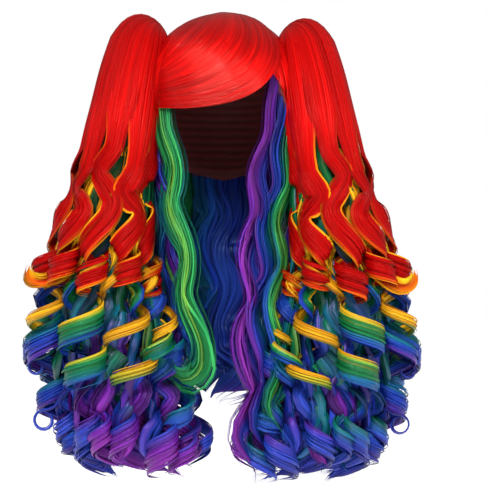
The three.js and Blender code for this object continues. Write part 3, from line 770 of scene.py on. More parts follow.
def add_hanging(strands, spine, across, out, half, depth, dye, count, groups, shade, loose=0.25, filled=0.82):
    """A wavy lock of strands that hang side by side, over a body that fills a share of its width."""
    along = np.linspace(0, 1, len(spine))
    place = scatter(count)
    own, middle = clumps(place, groups)
    sway = chance.normal(0, 1, groups)[own][:, None] * loose
    roll = chance.uniform(*WAVE_STARTS, groups)[own][:, None]
    drift = sway * np.sin(math.tau * CLUMP_WAVES[0] * along + roll) * ease(0.1, 0.6, along)
    waves = own_waves(count, *HANGING_WAVES, along)
    fine = HANGING_DRIFT * np.sin(waves + wave_starts(count))
    u = mix(place[:, None], middle[:, None], CLUMP_CLOSING * along ** 1.5) + drift + fine
    side = chance.choice([-1, 1], (count, 1))
    level = side * chance.uniform(*HANGING_LEVELS, (count, 1))
    lens = np.sqrt(np.clip(1 - HANGING_ROUNDING * u * u, 0.1, 1))
    d = (level + CLUMP_RIPPLE * np.sin(math.tau * CLUMP_WAVES[1] * along + roll)) * lens
    path = spine + across * (half * u)[..., None] + out * (depth * d)[..., None]
    wide = np.broadcast_to(across, path.shape)
    face = np.broadcast_to(out, path.shape)
    breadth = np.broadcast_to(half, u.shape)
    lay(strands, path, face, wide, u, breadth, dye, along, side, shade=shade, ends=HANGING_ENDS)
    ribbon_body(strands, spine, across, out, filled * half, HANGING_BODY * depth, dye, along, count)


# Pigtails

# How deep hair beside the crown goes into its wall, and the height over which it is let out at the rim.
WALL_INSET = 3
RIM_BLEND = 16
RED_ROLL_EASE = 1.15
RED_ROLL_BLEND = (0.1, 0.12)
RED_FACE_SWAY = 0.5
# What a lock loses of its width at the tip, and from what share of its length.
RED_TIP = (0.6, 0.88)
CURL_TIP = (0.7, TIP_TAPER_FROM)


def section_at(z):
    """Axis x and y and half sizes of the left pigtail at heights z."""
    rows = PIGTAIL_SECTIONS[::-1]
    x, y, half_x, half_y = (np.interp(z, rows[:, 0], rows[:, i]) for i in (1, 2, 3, 4))
    rise = np.clip((np.asarray(z) - HOOD_EQUATOR_Z) / HOOD_RISE, 0, 0.9999)
    dome = np.sqrt(1 - rise ** HOOD_FULLNESS)
    above = np.asarray(z) > HOOD_EQUATOR_Z
    return x, y, np.where(above, HOOD_HALF[0] * dome, half_x), np.where(above, HOOD_HALF[1] * dome, half_y)


def hood_point(bearing, z):
    """Points of the pigtail's outer surface at bearings, in radians, and heights."""
    x, y, half_x, half_y = section_at(z)
    return np.stack([x - half_x * np.sin(bearing), y - half_y * np.cos(bearing), z + 0 * bearing], axis=-1)


def hood_sweep(bearing, steps):
    """Hair from the clasp over the hood's dome to its widest level, for each bearing."""
    goal = np.stack([-np.sin(bearing), -np.cos(bearing), np.zeros_like(bearing)], axis=-1)[:, None]
    pole = unit(HOOD_POLE)
    up = np.array([0.0, 0.0, 1.0])
    t = np.linspace(0.03, 1, steps)[None, :, None]
    rising = unit(0.5 * pole + 1.2 * up + 0.2 * goal)
    falling = unit(goal + 1.1 * up)
    way = (1 - t) ** 3 * pole + 3 * t * (1 - t) ** 2 * rising
    way = unit(way + 3 * t * t * (1 - t) * falling + t ** 3 * goal)
    flat = np.maximum(np.linalg.norm(way[..., :2], axis=-1), 1e-6)
    z = HOOD_EQUATOR_Z + HOOD_RISE * np.clip(way[..., 2], 0, 0.999)
    x, y, half_x, half_y = section_at(z)
    return np.stack([x + half_x * way[..., 0] / flat, y + half_y * way[..., 1] / flat, z], axis=-1)


def hood_normal(points):
    """Outward normals of a pigtail's outer surface, above and below its widest level."""
    z = points[..., 2]
    x, y, _, _ = section_at(z)
    _, _, half_x, half_y = section_at(np.minimum(z, HOOD_EQUATOR_Z))
    rise = np.clip((z - HOOD_EQUATOR_Z) / HOOD_RISE, 0, 1)
    return unit(np.stack([
        (points[..., 0] - x) / half_x ** 2,
        (points[..., 1] - y) / half_y ** 2,
        HOOD_FULLNESS / 2 * rise ** (HOOD_FULLNESS - 1) / HOOD_RISE,
    ], axis=-1))


def beside_crown(points):
    """Points of a pigtail that would lie in the crown's hollow, moved out sideways into its wall."""
    x, y, z = points[..., 0], points[..., 1], points[..., 2]
    rise = np.maximum(z - WIDEST_Z, 0)
    depth = 1 - (y / HOLLOW_HALF[1]) ** 2 - (rise / HOLLOW_HALF[2]) ** 2
    side = HOLLOW_HALF[0] * np.sqrt(np.maximum(depth, 0))
    rim = rim_z(np.arctan2(-side / HOLLOW_HALF[0], -y / HOLLOW_HALF[1]))
    moved = np.where(depth > 0, np.minimum(x, -side - WALL_INSET), x)
    return np.stack([mix(x, moved, ease(rim - RIM_BLEND, rim, z)), y, z], axis=-1)


def smoothed(path, first, last, passes):
    """Paths with the corners between two steps rounded off."""
    path = path.copy()
    for _ in range(passes):
        middle = (path[:, first - 1:last - 1] + 2 * path[:, first:last] + path[:, first + 1:last + 1]) / 4
        path[:, first:last] = middle
    return path


def bearing_axes(bearing):
    """Outward and sideways of a lock at a bearing round the left pigtail."""
    outward = np.array([-math.sin(bearing), -math.cos(bearing), 0.0])
    return outward, np.array([-math.cos(bearing), math.sin(bearing), 0.0])


def lock_paths(lock, wound, lead_z, curl_share, turn_shift, end_shift):
    """Spines and facings of a pigtail lock's strands: heights lead_z above its curl, then the curl itself."""
    name, _, degrees, reach, curl_z, end_z, curl, turns, width = lock
    layer = LAYERS[name]
    bearing = math.radians(degrees)
    outward, sideways = bearing_axes(bearing)
    roll_turns = RED_ROLL_TURNS + RED_ROLL_SPREAD * math.sin(2 * bearing + 1)
    if name == "red":
        end_z = end_z - RED_END_DROP * (1 + math.cos(3 * bearing))
    count = len(curl_share)
    share = np.concatenate([np.zeros(len(lead_z)), wound])
    winding = mix(curl_z, end_z + end_shift, wound[None] ** (1 / CURL_TIGHTENING))
    z = np.concatenate([np.broadcast_to(lead_z, (count, len(lead_z))), winding], axis=1)
    turn = math.tau * (turns + turn_shift) * share
    depth, breadth, face_turn = 1.0, 1.0, turn
    if name == "red":
        fallen = share ** (1 / CURL_TIGHTENING)
        rolled = np.clip((fallen - RED_ROLL_FROM) / (1 - RED_ROLL_FROM), 0, 1) ** RED_ROLL_EASE
        turn = math.tau * (RED_WAVES * fallen / RED_ROLL_FROM + (roll_turns + turn_shift) * rolled)
        rolling = ease(RED_ROLL_FROM - RED_ROLL_BLEND[0], RED_ROLL_FROM + RED_ROLL_BLEND[1], fallen)
        depth, breadth = mix(RED_WAVE_DEPTH, 1, rolling), mix(RED_WAVE_BREADTH, 1, rolling)
        face_turn = mix(RED_FACE_SWAY * np.sin(turn), turn - math.tau, rolling)
    spoke = outward * (depth * np.cos(turn))[..., None] + sideways * (breadth * np.sin(turn))[..., None]
    facing = outward * np.cos(face_turn)[..., None] + sideways * np.sin(face_turn)[..., None]
    curled = 1 - ease(curl_z - layer["growth"], curl_z, z)
    x, y, half_x, half_y = section_at(z)
    flare = np.ones_like(z)
    if layer["flare"]:
        flare = 1 - ease(layer["rootZ"] - layer["flare"], layer["rootZ"], z)
    hang = mix(layer["disc"] / half_x, reach, flare)
    spine = np.stack([x + outward[0] * hang * half_x, y + outward[1] * hang * half_y, z], axis=-1)
    spine = spine + spoke * (curled * curl * mix(1, curl_share, share))[..., None]
    widen = 1 - ease(curl_z - layer["growth"], layer["rootZ"], z)
    loss, start = RED_TIP if name == "red" else CURL_TIP
    half = mix(layer["rootWidth"], width, widen) / 2 * (1 - loss * ease(start, 1, share))
    return spine, facing, half, z


HOOD_STEPS = 17
HOOD_LIFT = 0.3
# Steps on each side of the hood's widest level that are rounded off, and how often.
HOOD_JOIN = 5
HOOD_JOIN_PASSES = 12
# The straight lead of a lock: its steps, how far over the curl it ends, and how far under the hood's widest
# level a red one starts.
LEAD_STEPS = 8
LEAD_GAP = 2
LEAD_DROP = 5
CURL_STEPS_A_TURN = 16
# Steps down a red lock, closer in the part that rolls up.
RED_FALL = np.concatenate([np.linspace(0, 0.66, 18, endpoint=False), np.linspace(0.66, 1, 20)])
RED_CURL = RED_FALL ** CURL_TIGHTENING
RED_FAN = math.radians(24)
GATHER_Z = -94
LOOSE_STRANDS = 2
# How the strands of a curl differ: from clump to clump, from strand to strand, and for a loose one.
CURL_SPREAD = (0.06, 0.012, 0.14)
TURN_SPREAD = (0.02, 0.005, 0.1)
END_SPREAD = (3, 1.0)
LOCK_DEPTH = 3.4
LOCK_ROUNDING = 0.8
LOCK_LEVELS = (0.72, 1)
LOCK_BODY_DEPTH = 1.8
LOCK_BODY_SHARE = 0.86
# The strands' own waves, how far these reach across and in depth, and how far a clump closes up.
CURL_WAVES = (1, 2.4)
CURL_DRIFT = 0.05
CURL_RIPPLE = 0.12
CURL_CLOSING = 0.5
# How far a loose strand leaves the lock's edge, and its width.
STRAY_REACH = 0.22
STRAY_WIDTH = 0.55
# Roundness of red strands, on the hood and in the lock, and their length on the hood, below it and curled.
RED_ROUNDNESS = (0.12, 0.4)
RED_LENGTHS = ((0, 0.3), (0.31, 0.44), (0.45, 1))


def over_hood(path, across, out, half, u, place, z, lock):
    """Strands of a red lock led over the hood before they gather, with what lay needs to dress them."""
    count = len(place)
    bearing = math.radians(lock[2]) - place * RED_FAN
    crest = np.concatenate([hood_sweep(bearing, HOOD_STEPS), hood_point(bearing[:, None], z)], axis=1)
    crest = smoothed(crest, HOOD_STEPS - HOOD_JOIN, HOOD_STEPS + HOOD_JOIN, HOOD_JOIN_PASSES)
    crest = beside_crown(crest)
    crest = crest + hood_normal(crest) * chance.uniform(-HOOD_LIFT, HOOD_LIFT, (count, 1, 1))
    gather = 1 - ease(lock[4] + LEAD_GAP, GATHER_Z, z)
    below = mix(crest[:, HOOD_STEPS:], path, gather[..., None])
    path = np.concatenate([crest[:, :HOOD_STEPS], below], axis=1)
    gathered = np.concatenate([np.zeros((count, HOOD_STEPS)), gather], axis=1)
    wide_up, face_up = ribbon_axes(path, hood_normal(path))
    shift = ((0, 0), (HOOD_STEPS, 0), (0, 0))
    across = unit(mix(wide_up, np.pad(across, shift), gathered[..., None]))
    out = unit(mix(face_up, np.pad(out, shift), gathered[..., None]))
    spread = np.linalg.norm(crest[0] - crest[-1], axis=-1) / 2
    spread = np.broadcast_to(spread, (count, len(spread)))
    breadth = np.concatenate([spread[:, :HOOD_STEPS], mix(spread[:, HOOD_STEPS:], half, gather)], axis=1)
    flat_share = np.full((count, HOOD_STEPS), RED_ROUNDNESS[0])
    round_share = np.concatenate([flat_share, mix(*RED_ROUNDNESS, gather)], axis=1)
    u = np.concatenate([np.broadcast_to(place[:, None], (count, HOOD_STEPS)), u], axis=1)
    return path, out, across, u, breadth, round_share, LOCK_TILT * gathered


def curl_differences(own, groups):
    """Which strands of a curl are loose, and how each differs in the curl's size, its turns and its end."""
    count = len(own)
    loose = np.zeros(count)
    loose[chance.choice(count, LOOSE_STRANDS, replace=False)] = 1
    by_clump, by_strand, astray = CURL_SPREAD
    curl_share = 1 + chance.normal(0, by_clump, groups)[own] + chance.normal(0, by_strand, count)
    curl_share = curl_share + astray * loose
    by_clump, by_strand, astray = TURN_SPREAD
    turn_shift = chance.normal(0, by_clump, groups)[own] + chance.normal(0, by_strand, count)
    turn_shift = turn_shift + astray * loose * chance.normal(0, 1, count)
    by_clump, by_strand = END_SPREAD
    end_shift = chance.normal(0, by_clump, groups)[own] + chance.normal(0, by_strand, count)
    return loose, curl_share[:, None], turn_shift[:, None], end_shift[:, None]


def add_lock_body(strands, lock, wound, lead, count):
    """The close-packed middle of a pigtail's lock, which in a red one starts with the curl."""
    name, dye = lock[:2]
    plain = np.zeros((1, 1))
    spine, facing, half, _ = lock_paths(lock, wound, lead, plain + 1, plain, plain)
    across, out = ribbon_axes(spine, facing)
    first, share = (LEAD_STEPS, RED_LENGTHS[2][0]) if name == "red" else (0, 0)
    spine, across, out, half = (part[0, first:] for part in (spine, across, out, half))
    along = np.linspace(share, 1, len(spine))
    ribbon_body(strands, spine, across, out, LOCK_BODY_SHARE * half, LOCK_BODY_DEPTH, dye, along, count)


def add_pigtail_lock(strands, lock, count, groups):
    """A lock of a pigtail. The strands of a red one come over the hood and gather below it."""
    name, dye, _, _, curl_z, _, _, turns, _ = lock
    red = name == "red"
    wound = RED_CURL if red else np.linspace(0, 1, int(CURL_STEPS_A_TURN * turns) + 4)
    share = np.concatenate([np.zeros(LEAD_STEPS), wound])
    lead_top = HOOD_EQUATOR_Z - LEAD_DROP if red else LAYERS[name]["rootZ"]
    lead = np.linspace(lead_top, curl_z + LEAD_GAP, LEAD_STEPS)
    place = scatter(count)
    own, middle = clumps(place, groups)
    loose, *differences = curl_differences(own, groups)
    spine, facing, half, z = lock_paths(lock, wound, lead, *differences)
    across, out = ribbon_axes(spine, facing)
    waves = own_waves(count, *CURL_WAVES, share)
    drift = CURL_DRIFT * np.sin(waves + wave_starts(count))
    off_edge = STRAY_REACH * (loose * np.sign(place))[:, None] * share
    u = mix(place[:, None], middle[:, None], CURL_CLOSING * share ** 2) + drift + off_edge
    lens = np.sqrt(np.clip(1 - LOCK_ROUNDING * u * u, 0.05, 1))
    side = np.ones((count, 1)) if red else chance.choice([-1, 1], (count, 1))
    level = side * chance.uniform(*LOCK_LEVELS, (count, 1))
    waves = own_waves(count, *CURL_WAVES, share)
    d = (level + CURL_RIPPLE * np.sin(waves + 6 * level)) * lens
    path = spine + across * (half * u)[..., None] + out * (LOCK_DEPTH * d)[..., None]
    thinner = np.where(loose > 0, STRAY_WIDTH, 1)[:, None]
    if red:
        path, out, across, u, breadth, round_share, tilt = over_hood(
            path, across, out, half, u, place, z, lock)
        steps = (HOOD_STEPS, LEAD_STEPS, len(wound))
        along = np.concatenate([np.linspace(*ends, number) for ends, number in zip(RED_LENGTHS, steps)])
        lay(strands, path, out, across, u, breadth * thinner, dye, along, side,
            shade=0.1, ends=0.04, fineness=2.5, round_share=round_share, tilt=tilt, point=0.06)
    else:
        along = np.linspace(0, 1, path.shape[1])
        lay(strands, path, out, across, u, half * thinner, dye, along, side)
    add_lock_body(strands, lock, wound, lead, count)


# The hood's body: its share of the hood's size, what it loses on the way down and where, how far it lies
# under the hood, the heights between which its dye goes from red to green, and its steps.
HOOD_BODY = {
    "share": 0.94, "loss": 0.34, "taper_z": -120, "taper": 56, "dome_z": -84, "low_z": -176,
    "under": 1.5, "red_z": -112, "green_z": -150, "levels": 12, "corners": 36,
}


def add_hood_body(strands):
    """The close-packed hair under the strands of a hood, a closed body."""
    levels = HOOD_BODY["levels"]
    dome = HOOD_EQUATOR_Z + HOOD_RISE * np.cos(np.linspace(0.12, math.pi / 2, levels))
    z = np.concatenate([dome, np.linspace(HOOD_BODY["dome_z"], HOOD_BODY["low_z"], levels)])
    narrowed = ease(0, 1, (HOOD_BODY["taper_z"] - z) / HOOD_BODY["taper"])
    share = HOOD_BODY["share"] - HOOD_BODY["loss"] * narrowed
    bearing = np.linspace(0, math.tau, HOOD_BODY["corners"], endpoint=False)[::-1]
    x, y, half_x, half_y = section_at(z)
    rings = np.stack([
        x[:, None] - (share * half_x)[:, None] * np.sin(bearing),
        y[:, None] - (share * half_y)[:, None] * np.cos(bearing),
        np.broadcast_to(z[:, None] - HOOD_BODY["under"], (len(z), len(bearing))),
    ], axis=-1)
    reddened = ease(HOOD_BODY["green_z"], HOOD_BODY["red_z"], z)[:, None, None]
    # The red part is dyed darker than its strands, painted shade between them; the green below is dye.
    colours = mix(LIGHT["dark_green"], RED_BODY_PAINTED_SHADE * LIGHT["red"], reddened)
    colours = np.broadcast_to(colours, rings.shape)
    strands.add_body(rings, colours, np.linspace(0, 40, len(bearing)))


def add_flip(strands):
    """The outer red curl that flips out to the side."""
    spine = bezier(FLIP, FLIP_STEPS)
    across, out = ribbon_axes(spine, np.broadcast_to([0.0, -1.0, 0.0], spine.shape))
    half = FLIP_HALF * (1 - 0.5 * ease(0.75, 1, np.linspace(0, 1, FLIP_STEPS)))
    add_hanging(strands, spine, across, out, half, FLIP_DEPTH, "flip", FLIP_STRANDS,
                groups=3, shade=0.25, loose=0.15)


# Wavy hair inside a pigtail

INNER_STEPS = 22
INNER_DEPTH = 3.0


def add_wavy(strands, bearing, top_z, low_z, reach_top, reach_low, half, wave, wave_length, dye, count):
    """A wavy lock that hangs inside a pigtail."""
    z = np.linspace(top_z, low_z, INNER_STEPS)
    along = np.linspace(0, 1, INNER_STEPS)
    x, y, half_x, half_y = section_at(z)
    reach = mix(reach_top, reach_low, along)
    turn = bearing * 3 + math.tau * (top_z - z) / wave_length
    outward, sideways = bearing_axes(bearing)
    spine = np.stack([x + outward[0] * reach * half_x, y + outward[1] * reach * half_y, z], axis=-1)
    spine = spine + sideways * (wave * np.sin(turn))[:, None] + outward * (0.5 * wave * np.cos(turn))[:, None]
    across, out = ribbon_axes(spine, np.broadcast_to(outward, spine.shape))
    halves = half * (1 - 0.4 * ease(0.8, 1, along))
    add_hanging(strands, spine, across, out, halves, INNER_DEPTH, dye, count, groups=3, shade=0.25)


def bearings(*degrees):
    """Bearings in radians."""
    return [math.radians(d) for d in degrees]


def ring(count, first=0.0):
    """Bearings spread evenly round a pigtail."""
    return [math.tau * i / count + first for i in range(count)]


# Where it hangs, its bearings and its dyes in turn; top and low z, the reach at each, half width, wave, wave
# length, what that gains from lock to lock, and strands. The dye called heart is the side's own.
INNER_HAIR = [
    ("red", bearings(98, 60, 24, -12, -48, 136, -178), ["under_gold"],
     -100, -286, 0.66, 0.9, 5.0, 7, 92, 9, 12),
    ("red", ring(14, 0.2), ["shade_green", "under_gold", "shade_green", "under_green"],
     -112, -292, 0.72, 0.68, 13, 6, 84, 0, 8),
    ("red", ring(6), ["shade_green"], -100, -290, 0.5, 0.32, 18, 4, 90, 0, 8),
    ("violet", ring(14), ["shade_blue", "heart"], -272, -478, 0.55, 0.66, 14, 9, 72, 0, 8),
    ("violet", ring(12, 0.3), ["violet", "indigo", "heart"], -384, -512, 0.66, 0.64, 13, 10, 62, 0, 8),
    ("violet", ring(6), ["shade_violet"], -284, -490, 0.24, 0.3, 15, 5, 80, 0, 8),
    ("violet", bearings(-60, -90, -118), ["under_green", "shade_blue"],
     -236, -420, 0.74, 0.8, 11, 8, 80, 0, 12),
    ("inner side", bearings(-82, -104), ["shade_green"], -150, -300, 0.8, 0.84, 12, 5, 84, 0, 8),
]
HEART_DYE = {"left": "shade_violet", "right": "sea"}


def add_inner(strands, where, side):
    """The wavy hair that hangs in one place of a pigtail."""
    for place, at, dyes, *sizes, wave_length, gain, count in INNER_HAIR:
        if place == where:
            for i, bearing in enumerate(at):
                dye = dyes[i % len(dyes)]
                dye = HEART_DYE[side] if dye == "heart" else dye
                add_wavy(strands, bearing, *sizes, wave_length + gain * (i % 3), dye, count)


def wisp_line(row):
    """A thin lock that leaves the pigtail, goes over the top of a ring and follows it round."""
    _, x, y, z, ring_x, ring_z, radius, turns = row
    outward = math.copysign(1, ring_x - x)
    lead_steps, ring_steps = WISP_STEPS
    share = np.linspace(0, 1, ring_steps)
    spin = math.tau * turns * share
    reach = radius * (1 - WISP_CLOSING * share)
    loop = np.stack([
        ring_x + outward * reach * np.sin(spin),
        y - WISP_FORWARD * share,
        ring_z + reach * np.cos(spin),
    ], axis=-1)
    t = np.linspace(0, 1, lead_steps, endpoint=False)[:, None]
    bend = loop[0] - np.array([outward * WISP_BEND * radius, 0, 0])
    lead = (1 - t) ** 2 * np.array([x, y, z]) + 2 * t * (1 - t) * bend + t * t * loop[0]
    spine = np.concatenate([lead, loop])
    facing = unit(spine - np.array([ring_x, y, ring_z]))
    return spine, facing, WISP_HALF * (1 - 0.7 * ease(0.7, 1, np.linspace(0, 1, len(spine))))


# Crown and fringe


def rim_z(azimuth):
    """Heights of the crown's rim."""
    degrees = np.abs(np.degrees(np.arctan2(np.sin(azimuth), np.cos(azimuth))))
    front = mix(RIM["frontZ"], RIM["sideZ"], ease(RIM["frontDeg"], RIM["sideDeg"], degrees))
    back = mix(RIM["sideZ"], RIM["backZ"], (degrees - RIM["sideDeg"]) / (180 - RIM["sideDeg"]))
    return np.where(degrees > RIM["sideDeg"], back, front)


def rim_polar(half, azimuth):
    """Angles from the top at which a dome of these half sizes meets the rim."""
    drop = (rim_z(azimuth) - WIDEST_Z) / half[2]
    return np.where(drop > 0, np.arccos(np.clip(drop, 0, 1)), math.pi / 2 - drop)


def dome_point(half, azimuth, polar):
    """Points of a dome, which goes on as a skirt below its widest level."""
    past = np.maximum(polar - math.pi / 2, 0)
    radius = np.where(past > 0, 1 - SKIRT_TAPER * past * past, np.sin(polar))
    height = np.where(past > 0, -past, np.cos(polar))
    return np.stack([
        half[0] * radius * np.sin(azimuth),
        -half[1] * radius * np.cos(azimuth),
        WIDEST_Z + half[2] * height,
    ], axis=-1)


def dome_normal(points):
    """Outward normals of the crown."""
    rise = np.maximum(points[..., 2] - WIDEST_Z, 0)
    return unit(np.stack([
        points[..., 0] / CROWN_HALF[0] ** 2,
        points[..., 1] / CROWN_HALF[1] ** 2,
        rise / CROWN_HALF[2] ** 2,
    ], axis=-1))


# Height where the smooth hair's dye shares start, and the drop over which they reach 1; the painted sheen
# band lies between.
SMOOTH_TOP_Z = 8
SMOOTH_DROP = 130
SMOOTH_ROUNDNESS = 0.13
SMOOTH_SHADE = 0.1


def sheen_band_place(points, tilt):
    """Shares of the smooth hair's dye by height, with its painted sheen, a lighter part, in one band tilted
    along x.
    """
    own = chance.normal(0, DYE_DRIFT, (len(points), 1))
    return np.clip((SMOOTH_TOP_Z - points[..., 2] - tilt * points[..., 0]) / SMOOTH_DROP + own, 0, 1)


def flat_strands(strands, path, face, wide, tilt, taper):
    """Smooth strands that lie on a surface with the given normals."""
    count, steps = path.shape[:2]
    forward = unit(np.gradient(path, axis=1))
    flat = unit(np.cross(face, forward))
    up = np.cross(forward, flat)
    wide = wide * (1 - TIP_LOSS * ease(1 - taper, 1, np.linspace(0, 1, steps)))
    # Dye rows by height paint a lighter sheen band across the smooth hair.
    colours = dye_colours("crown", np.zeros((count, steps)), sheen_band_place(path, tilt))
    colours = colours * strand_tones(count, SMOOTH_SHADE)
    strands.add(path, flat, up, wide, wide * SMOOTH_ROUNDNESS, colours, SMOOTH_ARCH)


# Coats of hair on the crown: height over its surface and strands. Then the half widths of a coat's strands
# all together, and how its strands swirl at the top, scatter, lift and wave.
CROWN_COATS = ((-1.2, 100), (0.2, 220))
CROWN_STEPS = 23
CROWN_SPREAD = 600
CROWN_SWIRL = 0.5
CROWN_SCATTER = 6
CROWN_LIFT = 0.25
CROWN_WAVE = 0.03
CROWN_BODY = {"rows": 18, "columns": 72, "depths": (2.0, 3.4), "inset": 0.015}
# Coats of hair on the fringe: least and most height over the crown, and strands.
FRINGE_COATS = ((1.0, 1.6, 90), (2.8, 3.4, 95), (4.9, 5.7, 145))
FRINGE_STEPS = 26
# Slope along x of the fringe's painted sheen band.
FRINGE_TILT = 0.29
FRINGE_SWAY = 1.2
FRINGE_STRAND_HALF = 1.4


def add_crown_body(strands):
    """The close-packed hair under the strands of the crown, a closed shell."""
    outer, inner = CROWN_BODY["depths"]
    count, columns = CROWN_BODY["rows"], CROWN_BODY["columns"]
    rows = np.concatenate([np.linspace(0.01, 1, count), np.linspace(1, 0.01, count)])[:, None]
    depth = np.repeat([outer, inner], count)
    azimuth = np.linspace(0, math.tau, columns, endpoint=False)
    polar = rows * (rim_polar(CROWN_HALF - outer, azimuth) - CROWN_BODY["inset"])
    rings = np.stack([dome_point(CROWN_HALF - d, azimuth, p) for d, p in zip(depth, polar)])
    # Darker red than the strands over it: painted shade where it shows between them.
    colours = np.broadcast_to(RED_BODY_PAINTED_SHADE * LIGHT["red"], rings.shape)
    strands.add_body(rings, colours, np.linspace(0, 80, columns))


def crown_strands():
    """Smooth hair from the top of the crown to its rim, in coats over a closed body."""
    strands = Strands()
    share = np.linspace(0.004, 1, CROWN_STEPS)
    swirl = CROWN_SWIRL * (1 - ease(0, 0.5, share))
    for lift, count in CROWN_COATS:
        azimuth = np.linspace(-math.pi, math.pi, count, endpoint=False)
        azimuth = azimuth + chance.uniform(-0.5, 0.5, count) * CROWN_SCATTER / count
        wave = CROWN_WAVE * np.sin(5 * share + wave_starts(count))
        turn = azimuth[:, None] + swirl + wave
        half = CROWN_HALF + lift
        polar = share * rim_polar(half, turn) * (1 + chance.uniform(-0.02, 0.015, (count, 1)))
        path = dome_point(half, turn, polar)
        path = path + dome_normal(path) * (CROWN_LIFT * chance.uniform(-1, 1, (count, 1, 1)))
        wide = CROWN_SPREAD / count * np.sqrt(np.sin(np.minimum(polar + 0.03, math.pi / 2)))
        flat_strands(strands, path, dome_normal(path), wide, tilt=0, taper=0.04)
    add_crown_body(strands)
    return strands


def over_front(flat, lift):
    """Points drawn from the front, laid on the crown at a height over it, and the crown's normals there."""
    x, z = flat[..., 0], flat[..., 1]
    rise = np.maximum(z - WIDEST_Z, 0)
    past = np.sqrt(np.maximum((x / CROWN_HALF[0]) ** 2 + (rise / CROWN_HALF[2]) ** 2, 1))
    x, z = x / past, z - rise + rise / past
    depth = 1 - (x / CROWN_HALF[0]) ** 2 - (rise / past / CROWN_HALF[2]) ** 2
    point = np.stack([x, -CROWN_HALF[1] * np.sqrt(np.maximum(depth, 0)), z], axis=-1)
    normal = dome_normal(point)
    return point + normal * lift[..., None], normal


def fringe_strands():
    """Smooth hair swept to one side over the front of the crown."""
    strands = Strands()
    along = np.linspace(0, 1, FRINGE_STEPS)
    for low, high, count in FRINGE_COATS:
        share = np.linspace(0, 1, count) + chance.uniform(-0.5, 0.5, count) * 2 / count
        share = np.clip(share, -0.02, 1.0)
        lift = chance.uniform(low, high, (count, 1)) * mix(0.45, 1, np.sin(math.pi * along))
        lift = lift * mix(0.1, 1, ease(0, 0.35, share))[:, None]
        sway = FRINGE_SWAY * np.sin(math.tau * along + wave_starts(count))
        flat = bezier(mix(FRINGE_TOP[None], FRINGE_LOW[None], share[:, None, None]), FRINGE_STEPS)
        flat[..., 1] += sway * np.sin(math.pi * along)
        path, face = over_front(flat, lift)
        wide = np.full((count, FRINGE_STEPS), FRINGE_STRAND_HALF) * strand_widths(count)
        flat_strands(strands, path, face, wide, tilt=FRINGE_TILT, taper=0.1)
    return strands


LINING_COLUMNS = 64
LINING_ROWS = 20
# How far the lining's outer skin lies under the crown's surface, and its edge inside the rim, in radians.
LINING_DEPTH = 2.6
LINING_INSET = 0.012


def lining_piece():
    """The plain inside of the crown, a thin closed shell."""
    azimuth = np.linspace(0, math.tau, LINING_COLUMNS, endpoint=False)
    share = np.linspace(0.02, 1, LINING_ROWS)[:, None]
    skins = []
    for half in (HOLLOW_HALF, CROWN_HALF - LINING_DEPTH):
        polar = share * (rim_polar(half, azimuth[None]) - LINING_INSET)
        skins.append(dome_point(half, np.broadcast_to(azimuth, polar.shape), polar))
    points = np.concatenate([skins[0], skins[1][::-1]]).reshape(-1, 3)
    rings = np.arange(len(points)).reshape(-1, LINING_COLUMNS)
    near, far = rings[:-1], rings[1:]
    sides = np.stack([near, np.roll(near, -1, axis=1), np.roll(far, -1, axis=1), far], axis=-1).reshape(-1, 4)
    mesh = bpy.data.meshes.new("crown_lining")
    ends = [rings[0][::-1].tolist(), rings[-1].tolist()]
    mesh.from_pydata((points * MM).tolist(), [], sides.tolist() + ends)
    mesh.update()
    piece = bpy.data.objects.new("crown_lining", mesh)
    bpy.context.collection.objects.link(piece)
    bpy.context.view_layer.objects.active = piece
    piece.select_set(True)
    bpy.ops.object.mode_set(mode="EDIT")
    bpy.ops.mesh.select_all(action="SELECT")
    bpy.ops.mesh.normals_make_consistent(inside=False)
    bpy.ops.object.mode_set(mode="OBJECT")
    bpy.ops.object.shade_smooth()
    piece.select_set(False)
    return piece


# Base hair

# What add_base_lock takes: for every base lock, for each kind of it, and for the looser ones.
BASE_FORM = {"steps": 48, "depth": 5.0, "groups": 8}
BASE_KINDS = {
    "back": {"count": 46, "loose": 0.25, "filled": 0.96},
    "front": {"count": 84, "loose": 0.42, "filled": 0.8},
    "side": {"count": 52, "loose": 0.25, "filled": 0.8},
}
LOOSE_BASE_FORM = {"steps": 40, "depth": 4.0, "groups": 5, "count": 32, "loose": 0.4}
BASE_SHADE = 0.4


